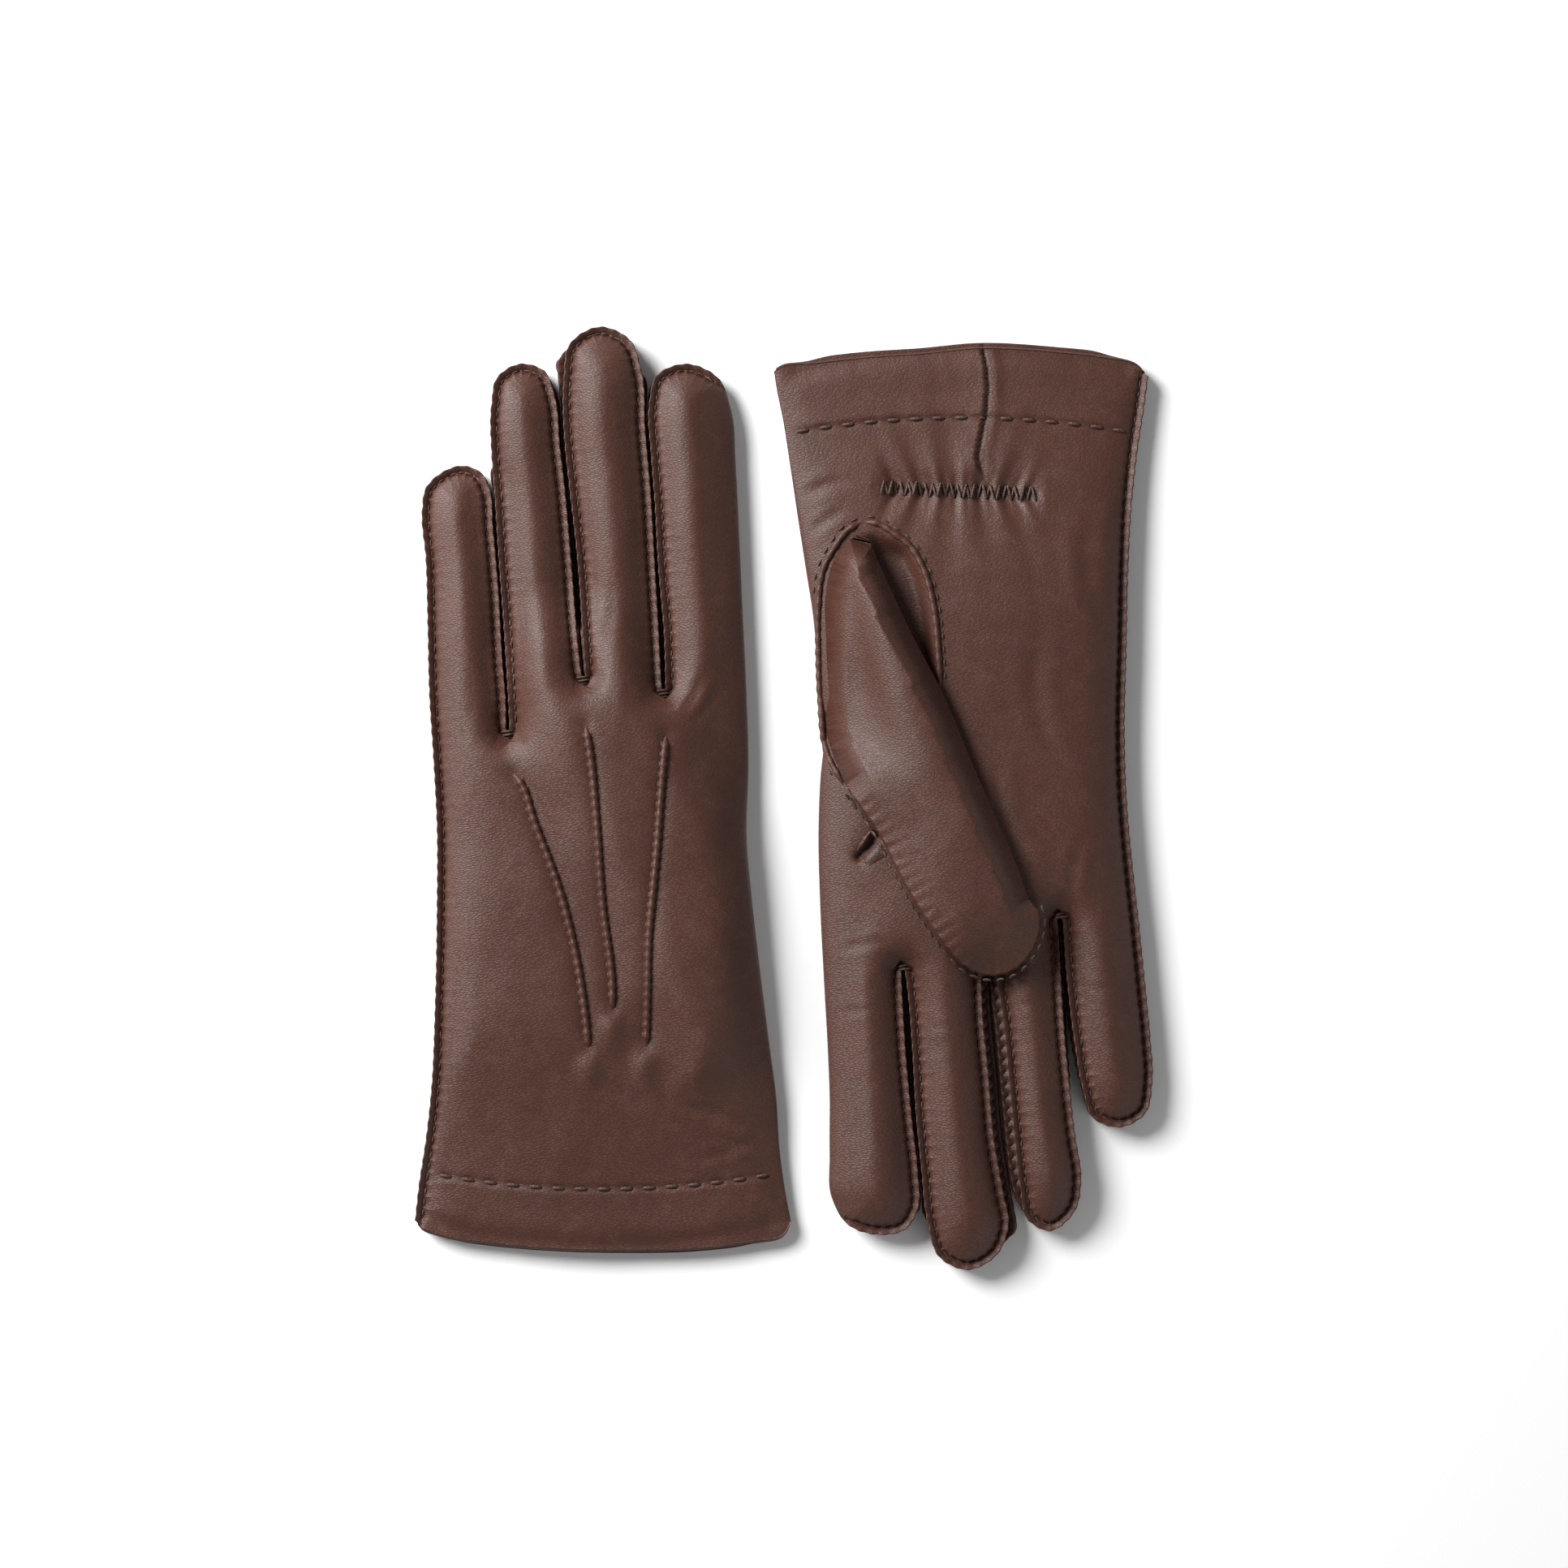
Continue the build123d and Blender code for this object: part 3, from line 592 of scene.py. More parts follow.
def edge_profile(up, low, share, bulge):
    """From a seam's upper raw edge round to its lower one, as (outward, height) pairs.

    share, from 0 to 1, opens the side strip, and bulge is how far the strip swells outward.
    """
    middle = (up + low) / 2
    top = [(0.08, up - 0.35), (-0.1, up - 0.8), (-0.55, up - 1.05)]
    strip = [(0.02, up - 1.2), (-0.12, up - 1.75), (-0.9, up - 2.0), (-0.5, up - 2.6)]
    strip.append((0.7 * bulge, up - 3.6))
    bottom = [(o, low + (up - z)) for o, z in reversed(top)]
    strip_low = [(o, low + (up - z)) for o, z in reversed(strip)]
    side_middle = [(bulge, middle)]
    pinch = (-0.6, middle)
    opened = []
    for o, z in strip + side_middle + strip_low:
        opened.append((pinch[0] + (o - pinch[0]) * share, pinch[1] + (z - pinch[1]) * share))
    closed_top = [(o, max(z, middle) if share < 1 else z) for o, z in top]
    closed_bottom = [(o, min(z, middle) if share < 1 else z) for o, z in bottom]
    return closed_top, opened, closed_bottom


def sew_edge(build, outline, upper_ids, lower_ids, up, low, leather_label, strip_label):
    """The ribbon of raw edges and side strips that joins the two sheets round the outline."""
    n = len(outline.p)
    columns = []
    for i in range(n):
        if outline.open[i] > 0.5 or outline.fold[i] > 0.98:
            columns.append(None)
            continue
        tops, middles, bottoms = edge_profile(up[i], low[i], outline.side[i], outline.bulge[i])
        grow = 1 - outline.fold[i]
        places = []
        for o, z in tops + middles + bottoms:
            flat = outline.p[i] - outline.n[i] * o * grow
            places.append((flat[0], flat[1], z))
        start = build.add(places)
        ids = [upper_ids[i]] + list(range(start, start + len(places))) + [lower_ids[i]]
        columns.append(ids)
    for i in range(n):
        j = (i + 1) % n
        if columns[i] is None and columns[j] is None:
            continue
        a, b = columns[i], columns[j]
        if a is None:
            a = collapse(upper_ids[i], lower_ids[i], len(b))
        if b is None:
            b = collapse(upper_ids[j], lower_ids[j], len(a))
        if outline.open[i] > 0.5 or outline.open[j] > 0.5:
            continue
        for k in range(len(a) - 1):
            inner = 4 <= k < len(a) - 5 and outline.side[i] > 0.02
            label = strip_label(i) if inner else leather_label(i)
            build.face((a[k], b[k], b[k + 1], a[k + 1]), label)


def collapse(up_id, low_id, count):
    half = count // 2
    return [up_id] * half + [low_id] * (count - half)


# ---------------------------------------------------------------- stitches, ridges and other small work
def capsules(centres, alongs, ups, length, radius, sag):
    """One mesh of many stitches: short rounded rods whose ends dip."""
    rings = np.array([-1, -0.93, -0.78, -0.45, 0, 0.45, 0.78, 0.93, 1])
    girth = np.array([0.15, 0.55, 0.85, 1, 1.04, 1, 0.85, 0.55, 0.15])
    sides = 8
    angle = np.arange(sides) * 2 * math.pi / sides
    t = np.repeat(rings, sides)
    g = np.repeat(girth, sides)
    local = np.column_stack([t * length / 2, np.tile(np.cos(angle), len(rings)) * g * radius,
                             np.tile(np.sin(angle), len(rings)) * g * radius - sag * t**2])
    acrosses = np.cross(ups, alongs)
    verts = (centres[:, None] + local[None, :, :1] * alongs[:, None] + local[None, :, 1:2] * acrosses[:, None]
             + local[None, :, 2:] * ups[:, None]).reshape(-1, 3)
    faces = []
    size = len(t)
    for k in range(len(centres)):
        base = k * size
        for r in range(len(rings) - 1):
            for a in range(sides):
                b = (a + 1) % sides
                faces.append((base + r * sides + a, base + r * sides + b, base + (r + 1) * sides + b,
                              base + (r + 1) * sides + a))
        faces.append(tuple(base + a for a in reversed(range(sides))))
        faces.append(tuple(base + size - sides + a for a in range(sides)))
    return verts, faces


def unit(v):
    return v / np.maximum(np.linalg.norm(v, axis=1)[:, None], 1e-9)


class Thread:
    """Gathers stitches by the piece that they belong to."""

    def __init__(self, side):
        self.side, self.sets = side, {}

    def lay(self, label, surface, flat, heading, length, radius, sag=0.3, sink=0.0, facing=1):
        """Stitches with their middles at flat plan points, lying on a surface(q) -> z."""
        flat, heading = np.asarray(flat, float), unit(np.asarray(heading, float))
        ahead, behind = surface(flat + heading * 0.5), surface(flat - heading * 0.5)
        across = np.column_stack([-heading[:, 1], heading[:, 0]])
        left, right = surface(flat + across * 0.6), surface(flat - across * 0.6)
        along = unit(np.column_stack([heading, ahead - behind]))
        other = unit(np.column_stack([across, (left - right) / 1.2]))
        up = unit(np.cross(along, other)) * facing
        middle = np.column_stack([flat, surface(flat)]) + up * (radius * 0.6 - sink)
        self.sets.setdefault(label, []).append(capsules(middle, along, up, length, radius, sag))

    def build(self, material):
        made = {}
        for label, groups in self.sets.items():
            verts, faces, start = [], [], 0
            for v, f in groups:
                verts.append(v)
                faces += [tuple(i + start for i in ring) for ring in f]
                start += len(v)
            placed = place(self.side, np.vstack(verts))
            made[label] = make_object(f"{self.side}_{label}", placed, faces, material)
        return made


def ridge(build, label, line, surface, half_width, height, pitch, facing=1):
    """A raised sewn ridge along a plan line, pinched at each stitch and tapered at its ends."""
    tangent = unit(np.gradient(line, axis=0))
    normal = np.column_stack([-tangent[:, 1], tangent[:, 0]])
    run = np.concatenate([[0], np.cumsum(np.linalg.norm(np.diff(line, axis=0), axis=1))])
    taper = ramp(run, 0, 3.5) * ramp(run[-1] - run, 0, 3.5)
    beat = 1 + 0.13 * np.cos(2 * math.pi * run / pitch)
    wide = half_width * beat * (0.35 + 0.65 * taper)
    tall = height * (0.94 + 0.06 * np.cos(2 * math.pi * run / pitch)) * taper
    angles = np.radians([-20, 5, 30, 58, 90, 122, 150, 175, 200])
    rows = []
    for a in angles:
        flat = line + normal * (wide * math.cos(a))[:, None]
        rows.append(np.column_stack([flat, surface(line) + facing * (tall * math.sin(a) - 0.06)]))
    start = build.add(np.vstack(rows))
    n = len(line)
    for r in range(len(angles) - 1):
        for i in range(n - 1):
            a = start + r * n + i
            ring = (a, a + 1, a + n + 1, a + n)
            build.face(ring if facing < 0 else ring[::-1], label)


# ---------------------------------------------------------------- materials
def node_material(name):
    material = bpy.data.materials.new(name)
    material.use_nodes = True
    tree = material.node_tree
    return material, tree.nodes, tree.links, tree.nodes["Principled BSDF"]


def noise(nodes, links, place_from, scale, detail=4.0, rough=0.55):
    node = nodes.new("ShaderNodeTexNoise")
    node.inputs["Scale"].default_value = scale
    node.inputs["Detail"].default_value = detail
    node.inputs["Roughness"].default_value = rough
    links.new(place_from, node.inputs["Vector"])
    return node.outputs["Fac"]


def blend_colours(nodes, links, factor, first, second):
    mix = nodes.new("ShaderNodeMix")
    mix.data_type = "RGBA"
    links.new(factor, mix.inputs["Factor"])
    for socket, value in ((mix.inputs[6], first), (mix.inputs[7], second)):
        if isinstance(value, tuple):
            socket.default_value = (*value, 1)
        else:
            links.new(value, socket)
    return mix.outputs[2]


def curve_of(nodes, links, value, low, high):
    node = nodes.new("ShaderNodeMapRange")
    node.inputs["From Min"].default_value = low
    node.inputs["From Max"].default_value = high
    links.new(value, node.inputs["Value"])
    return node.outputs["Result"]


def leather(name, dark, mid, light):
    """Grained glove leather: fine pebbles and creases, mottled colour, a little paler in random clouds."""
    material, nodes, links, shader = node_material(name)
    where = nodes.new("ShaderNodeTexCoord").outputs["Object"]
    broad = noise(nodes, links, where, 45, 3)
    fine = noise(nodes, links, where, 900, 5, 0.6)
    cloudy = noise(nodes, links, where, 180, 4)
    pebble = nodes.new("ShaderNodeTexVoronoi")
    pebble.feature = "DISTANCE_TO_EDGE"
    pebble.inputs["Scale"].default_value = 1150
    slant = nodes.new("ShaderNodeMapping")
    slant.inputs["Rotation"].default_value = (0, 0, math.radians(-35))
    slant.inputs["Scale"].default_value = (0.65, 1.5, 1)
    links.new(where, slant.inputs["Vector"])
    links.new(slant.outputs["Vector"], pebble.inputs["Vector"])
    cells = curve_of(nodes, links, pebble.outputs["Distance"], 0.0, 0.22)
    colour = blend_colours(nodes, links, curve_of(nodes, links, broad, 0.35, 0.68), dark, mid)
    colour = blend_colours(nodes, links, curve_of(nodes, links, cloudy, 0.52, 0.80), colour, light)
    shade = blend_colours(nodes, links, cells, tuple(0.8 * c for c in dark), colour)
    links.new(shade, shader.inputs["Base Color"])
    rough = nodes.new("ShaderNodeMapRange")
    rough.inputs["To Min"].default_value = 0.44
    rough.inputs["To Max"].default_value = 0.60
    links.new(cloudy, rough.inputs["Value"])
    links.new(rough.outputs["Result"], shader.inputs["Roughness"])
    shader.inputs["Specular IOR Level"].default_value = 0.4
    grain = nodes.new("ShaderNodeBump")
    grain.inputs["Distance"].default_value = 0.00009
    grain.inputs["Strength"].default_value = 0.55
    links.new(cells, grain.inputs["Height"])
    soft = nodes.new("ShaderNodeBump")
    soft.inputs["Distance"].default_value = 0.00012
    soft.inputs["Strength"].default_value = 0.4
    links.new(fine, soft.inputs["Height"])
    links.new(grain.outputs["Normal"], soft.inputs["Normal"])
    links.new(soft.outputs["Normal"], shader.inputs["Normal"])
    return material


def yarn(name, dark, light, scale, rough):
    """Thread, knit or elastic: a fine two-tone weave with a soft bump."""
    material, nodes, links, shader = node_material(name)
    where = nodes.new("ShaderNodeTexCoord").outputs["Object"]
    twist = nodes.new("ShaderNodeTexWave")
    twist.inputs["Scale"].default_value = scale
    twist.inputs["Distortion"].default_value = 2.0
    twist.bands_direction = "DIAGONAL"
    links.new(where, twist.inputs["Vector"])
    colour = blend_colours(nodes, links, twist.outputs["Fac"], dark, light)
    links.new(colour, shader.inputs["Base Color"])
    shader.inputs["Roughness"].default_value = rough
    bump = nodes.new("ShaderNodeBump")
    bump.inputs["Distance"].default_value = 0.0001
    bump.inputs["Strength"].default_value = 0.6
    links.new(twist.outputs["Fac"], bump.inputs["Height"])
    links.new(bump.outputs["Normal"], shader.inputs["Normal"])
    return material


LEATHER_BROWN = leather("leather_brown", (0.060, 0.020, 0.012), (0.074, 0.026, 0.016), (0.088, 0.034, 0.022))
# A darker copy of the same leather for the side strips between the fingers and the small gusset: painted
# shade, because these lie deep in narrow gaps and in a pocket.
LEATHER_PAINTED_SHADE = leather("leather_side", (0.045, 0.015, 0.009), (0.056, 0.020, 0.012), (0.066, 0.026, 0.017))
THREAD_BROWN = yarn("thread_brown", (0.032, 0.013, 0.009), (0.066, 0.030, 0.021), 700, 0.6)
KNIT = yarn("lining_knit", (0.035, 0.020, 0.015), (0.075, 0.045, 0.034), 450, 0.9)
ELASTIC = yarn("elastic_weave", (0.03, 0.022, 0.018), (0.06, 0.045, 0.038), 500, 0.8)


# ---------------------------------------------------------------- the two gloves
def describe_hand(o):
    """Fold along the index side, open cuff, and side strips between the fingers."""
    n = len(o.p)
    fold, open_, side = np.zeros(n), np.zeros(n), np.zeros(n)
    open_[o.name == "cuff"] = 1
    for name in FINGERS:
        run = np.flatnonzero(o.name == name)
        tip = run[np.argmax(o.p[run, 1])]
        past = (np.arange(n) - tip) * OUTLINE_STEP
        inner = ramp(past, 5, 16) if name == "little" else ramp(-past, 5, 16)
        if name in ("ring", "middle"):
            inner = np.maximum(ramp(past, 5, 16), ramp(-past, 5, 16))
        side[run] = inner[run]
        if name == "index":
            fold[run] = ramp(past, 7, 15)[run]
    return fold, open_, side, 0.3 * side


def describe_thumb(o):
    """Folded all round but for the seam."""
    n = len(o.p)
    fold = np.ones(n)
    run = np.flatnonzero(o.name == "seam")
    fold[run] = 1 - ramp(o.along[run], 0, 5) * ramp(o.total[run] - o.along[run], 0, 5)
    return fold, np.zeros(n), np.zeros(n), np.zeros(n)


def joint_of(side, name):
    """A joint's plan place, the plan direction ahead of its hinge, and its height in millimetres."""
    joint = next(j for j in frame["joints"] if j["name"] == name)
    x0, y0, way = PLACE[side]
    pos = np.array(joint["pos_m"]) * 1000
    flat = np.array([(pos[0] - x0) * way, (pos[1] - y0) * way])
    axis = np.array(joint["axis"][:2]) * way
    ahead = np.array([-axis[1], axis[0]])
    if ahead[1] < 0:
        ahead = -ahead
    return flat, ahead / np.linalg.norm(ahead), pos[2]


BEND_BEFORE, BEND_AFTER = 5.5, 10.0        # ends of a span round a hinge; bend() works them out but does not use them, so the leather is not bent
SPLIT_BEFORE = 8.0                         # pieces part this far before a hinge


def bend(obj, side, joint_name, child):
    flat, ahead, z = joint_of(side, joint_name)
    ends = [place(side, [(*(flat + ahead * k), z)])[0] for k in (-BEND_BEFORE, BEND_AFTER)]
    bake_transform(obj)


def cuff_overlap(side, u, depth):
    """How far the lower sheet's cuff edge runs past the upper one's."""
    reach = 1.2 if side == "right" else 0.5
    return reach * ramp(46 - np.abs(u), 0, 12) * (1 - ramp(depth, 0, 18))


def lining_of(label):
    part = label.split("_")[0]
    return f"{part}_lining"


class Glove:
    def __init__(self, side):
        self.side = side
        self.back_up = side == "left"
        self.outline = Outline(OUTLINE[side], describe_hand)
        self.thumb_outline = Outline(THUMB, describe_thumb)
        self.joints = {name: joint_of(side, f"{side}_{name}_flex") for name in FINGERS}
        self.hand = self.make_hand()
        self.thumb = self.make_thumb()
        self.build = Builder(side)
        self.threads = Thread(side)

    # ---- shapes
    def cuff_ease(self, q):
        """The glove is nearly flat at the cuff and full from the wrist on."""
        return 0.30 + 0.70 * ramp(q[:, 1], 8, 75)

    def make_hand(self):
        o = self.outline
        wrist = ramp(o.p[:, 1], 0, 60)
        middle = 2.9 + 1.6 * wrist
        spread = o.side * 1.7
        up = middle + spread
        low = middle - spread * 0.9
        up_face, low_face = ("back", "palm") if self.back_up else ("palm", "back")
        return Pillow(o, up, low, lambda q: 6.6 * self.cuff_ease(q), lambda q: 4.4 * self.cuff_ease(q),
                      ground=self.under, extra_up=lambda q: relief(self.side, up_face, q),
                      extra_low=lambda q: relief(self.side, low_face, q),
                      lift=self.over_thumb if self.back_up else None)

    def thumb_depth(self, q):
        """How far inside the thumb's plan a point lies, negative outside."""
        f = Field(self.thumb_outline, q, {})
        return np.where(self.thumb_outline.inside(q), f.d, -f.d)

    def over_thumb(self, q):
        """The left glove's back rises over the thumb tucked under it."""
        return 4.2 * ramp(self.thumb_depth(q), -13, 7)

    def under(self, q):
        """What the lower sheet can't sink into: the table, or the tucked thumb."""
        table = np.full(len(q), 0.35)
        if not self.back_up:
            return table
        return table + 7.2 * ramp(self.thumb_depth(q), -4.5, 2.5)

    def make_thumb(self):
        o = self.thumb_outline
        if self.back_up:
            bed = np.full(len(o.p), 0.4)
            seat = np.full(len(o.p), 3.6)
        else:
            around = self.hand.field(o.p)
            bed = self.hand.upper(around) - self.hand.settle(around) * thumb_hollow(o.p)
            seat = bed + THUMB_RISE
            foot = o.name == "foot"
            sunk = 1.0 - 1.2 * ramp(o.along, 0, 22) + 3.6 * ramp(o.along - o.total + 10, 0, 10)
            seat[foot] = (bed + sunk)[foot]
            start = o.name == "crease"
            seat[start] = (bed + 3.6 - 2.6 * ramp(o.along - o.total + 14, 0, 14))[start]
        crown = (lambda q: 3.4 + 0 * q[:, 0]) if self.back_up else (lambda q: 5.8 + 0 * q[:, 0])
        ground = (lambda q: np.full(len(q), 0.3)) if self.back_up else (
            lambda q: self.hand.upper(self.hand.field(q)) + 0.25)
        return Pillow(o, seat, seat, crown, lambda q: 3.0 + 0 * q[:, 0], ground=ground,
                      extra_up=lambda q: self.thumb_relief(q), extra_low=None, fold_round=-0.75, belly=0.3,
                      crisp=0.5, puckers=0.08)

    def thumb_relief(self, q):
        total = 0.16 * waves(q, 31, 8, 18, 40) + 0.03 * waves(q, 37, 14, 5, 10)
        return total + crease(q, (-13, 158), 20, 5, 0.9, 0.25) + crease(q, (25, 72), 100, 16, 3.0, 0.3)

    # ---- labels
    def finger_label(self, q, near):
        """Which finger piece a face belongs to, or the hand."""
        labels = np.full(len(q), "hand_leather", dtype=object)
        for name in FINGERS:
            flat, ahead, _ = self.joints[name]
            beyond = (q - flat) @ ahead > -SPLIT_BEFORE
            labels[beyond & (self.outline.name[near] == name)] = f"{name}_leather"
        return labels

    def strip_label(self, i):
        name = self.outline.name[i]
        run = np.flatnonzero(self.outline.name == name)
        tip = run[np.argmax(self.outline.p[run, 1])]
        return f"{name}_fourchette_{'little_side' if i < tip else 'index_side'}"

    # ---- making
    def fine(self, q):
        (u0, _), (u1, _) = ZIGZAG
        gather = (q[:, 0] > u1 - 3) & (q[:, 0] < u0 + 3) & (np.abs(q[:, 1] - 38) < 9)
        hem = np.abs(hem_line(self.side, q[:, 0]) - q[:, 1]) < 2.2
        if self.side == "right":
            hem |= (np.abs(q[:, 0] + 5.5) < 4.5) & (q[:, 1] < 36)
            hem |= ((q - np.mean(QUIRK, axis=0)) ** 2).sum(1) < 6.5**2
        return gather | hem

    def sheets(self, pillow, fine, label_of, strip_of):
        """Both sheets and the edge ribbon of one pillow."""
        o = pillow.o
        flat, faces, border = triangulate(o, fine)
        f = pillow.field(flat)
        up, low = pillow.upper(f), pillow.lower(f)
        low = np.minimum(low, up - 0.05)
        on_fold = np.zeros(len(flat), bool)
        on_fold[border[o.fold > 0.98]] = True
        joint = (up + low) / 2
        up[on_fold], low[on_fold] = joint[on_fold], joint[on_fold]
        top = self.build.add(np.column_stack([flat, up]))
        from_cuff = self.from_cuff(pillow, flat)
        shifted = flat.copy()
        shifted[:, 1] -= cuff_overlap(self.side, flat[:, 0], from_cuff)
        bottom = self.build.add(np.column_stack([shifted, low]))
        inside = ramp(f.d, 3.0, 4.6) * ramp(from_cuff, 2.5, 3.0)
        half = np.maximum((up - low) / 2 - LINING_DEPTH, 0.05) * inside
        lining_top = self.build.add(np.column_stack([flat, joint + half]))
        lining_bottom = self.build.add(np.column_stack([flat, joint - half]))
        corners = np.array(faces)
        middles = flat[corners].mean(1)
        near = Field(o, middles, {}).i
        labels = label_of(middles, near)
        a, b, c = flat[corners[:, 0]], flat[corners[:, 1]], flat[corners[:, 2]]
        turned = ((b[:, 0] - a[:, 0]) * (c[:, 1] - a[:, 1]) - (b[:, 1] - a[:, 1]) * (c[:, 0] - a[:, 0])) < 0
        for ring, flip, label in zip(corners, turned, labels):
            ring = ring[::-1] if flip else ring
            self.build.face(ring + top, label)
            self.build.face(ring[::-1] + bottom, label)
            if half[ring].max() > 0:
                lining = lining_of(label)
                self.build.face(ring + lining_top, lining)
                self.build.face(ring[::-1] + lining_bottom, lining)
        edge_labels = label_of(o.p, np.arange(len(o.p)))
        sew_edge(self.build, o, border + top, border + bottom, up[border], low[border],
                 lambda i: edge_labels[i], strip_of)

    def from_cuff(self, pillow, q):
        """Distance from the cuff's edge, large for a thumb."""
        cuff = pillow.o.p[pillow.o.open > 0.5]
        if not len(cuff):
            return np.full(len(q), 99.0)
        order = np.argsort(cuff[:, 0])
        return q[:, 1] - np.interp(q[:, 0], cuff[order, 0], cuff[order, 1])

    def surface(self, pillow, upper):
        def height(q):
            f = pillow.field(np.asarray(q, float))
            return pillow.upper(f) if upper else np.minimum(pillow.lower(f), pillow.upper(f) - 0.05)
        return height

    def seam_stitches(self):
        o = self.outline
        sewn = (o.open < 0.5) & (o.fold < 0.5)
        every = SEAM_PITCH / OUTLINE_STEP
        picks = np.round((np.arange(len(o.p) / every) + 0.5) * every).astype(int)
        picks = picks[(picks < len(o.p) - 1)]
        picks = picks[sewn[picks]]
        flat = o.p[picks] + o.n[picks] * FLANGE
        far = Field(o, flat, {}).d
        keep = far > FLANGE - 0.25
        picks, flat = picks[keep], flat[keep]
        labels = self.finger_label(flat, picks)
        for upper in (True, False):
            surface = self.surface(self.hand, upper)
            for label in np.unique(labels.astype(str)):
                chosen = labels == label
                name = "hand_seam_threads" if label == "hand_leather" else label.replace("leather", "thread")
                self.threads.lay(name, surface, flat[chosen], o.t[picks[chosen]], *SEAM_STITCH, sink=-0.3,
                                 facing=1 if upper else -1)

    def hem_stitches(self):
        count = 15
        u = (np.arange(count) - (count - 1) / 2) * HEM_PITCH
        flat = np.column_stack([u, hem_line(self.side, u)])
        heading = np.column_stack([np.ones(count), 2 * HEM_BOW * u / 47.5**2])
        for upper in (True, False):
            self.threads.lay("hem_thread", self.surface(self.hand, upper), flat, heading, *HEM_STITCH,
                             sink=-0.15, facing=1 if upper else -1)

    def zigzag(self):
        (u0, v0), (u1, v1) = ZIGZAG
        k = np.arange(ZIGZAG_STROKES + 1) / ZIGZAG_STROKES
        swing = ZIGZAG_SWING * (-1.0) ** np.arange(len(k))
        corner = np.column_stack([u0 + (u1 - u0) * k, v0 + (v1 - v0) * k + swing])
        flat, heading = (corner[1:] + corner[:-1]) / 2, corner[1:] - corner[:-1]
        upper = not self.back_up
        length = np.linalg.norm(heading, axis=1).mean()
        self.threads.lay("wrist_zigzag_thread", self.surface(self.hand, upper), flat, heading, length,
                         ZIGZAG_RADIUS, sag=0.05, sink=-0.3, facing=1 if upper else -1)

    def back_points(self):
        upper = self.back_up
        surface = self.surface(self.hand, upper)
        for points in POINTS:
            line = curve(points, 0.45)
            ridge(self.build, "hand_leather", line, surface, POINT_HALF_WIDTH, POINT_HEIGHT, 2.7,
                  facing=1 if upper else -1)
            tangent = unit(np.gradient(line, axis=0))
            normal = np.column_stack([-tangent[:, 1], tangent[:, 0]])
            picks = np.arange(6, len(line) - 6, 6)
            for way in (-1, 1):
                beside = line[picks] + normal[picks] * POINT_HALF_WIDTH * way
                self.threads.lay("point_threads", surface, beside, tangent[picks], *POINT_STITCH,
                                 facing=1 if upper else -1)

    def thumb_seams(self):
        upper = not self.back_up
        surface = self.surface(self.hand, upper)
        facing = 1 if upper else -1
        for run in HOLE_RIM.values():
            line = curve(run, 0.5)
            ridge(self.build, "thumb_base_leather", line, surface, RIM_HALF_WIDTH, RIM_HEIGHT, SEAM_PITCH,
                  facing=facing)
            tangent = unit(np.gradient(line, axis=0))
            normal = np.column_stack([-tangent[:, 1], tangent[:, 0]])
            picks = np.arange(4, len(line) - 4, 7)
            away = np.sign((normal[picks] * (line[picks] - np.array([22, 85]))).sum(1))[:, None]
            flat = line[picks] + normal[picks] * away * 1.5
            room = self.outline.inside(flat) & (self.hand.field(flat).d > 1.2)
            self.threads.lay("hand_seam_threads", surface, flat[room], tangent[picks][room], *RIM_STITCH,
                             facing=facing)
        o = self.thumb_outline
        run = np.flatnonzero((o.name == "seam") & (o.fold < 0.5))
        picks = run[::int(round(SEAM_PITCH / OUTLINE_STEP))]
        flat = o.p[picks] + o.n[picks] * FLANGE
        for top in (True, False):
            self.threads.lay("thumb_thread", self.surface(self.thumb, top), flat, o.t[picks], *SEAM_STITCH,
                             sink=-0.3, facing=1 if top else -1)

    def quirk(self):
        """A small gusset: a diamond beside the thumb's foot, with a slit and two sewn lips."""
        upper = not self.back_up
        surface, facing = self.surface(self.hand, upper), 1 if upper else -1
        corners = np.array(QUIRK, float)
        n = 9
        k = np.linspace(0, 1, n)
        a, b = np.meshgrid(k, k)
        w = [(1 - a) * (1 - b), a * (1 - b), a * b, (1 - a) * b]
        flat = sum(wi.reshape(-1, 1) * c for wi, c in zip(w, corners))
        puff = (16 * a * (1 - a) * b * (1 - b)).reshape(-1) ** 0.5
        slit = np.exp(-(((b - 0.3) / 0.18) ** 2)).reshape(-1)
        height = surface(flat) + facing * (0.12 + 0.5 * puff * (1 - slit))
        start = self.build.add(np.column_stack([flat, height]))
        for r in range(n - 1):
            for c in range(n - 1):
                i = start + r * n + c
                ring = (i, i + 1, i + n + 1, i + n)
                self.build.face(ring if facing < 0 else ring[::-1], "thumb_quirk")
        for edge in ((corners[3], corners[0]), (corners[0], corners[1])):
            line = resample(np.array(edge), 0.45)
            ridge(self.build, "hand_leather", line, surface, 0.7, 1.0, 2.4, facing=facing)

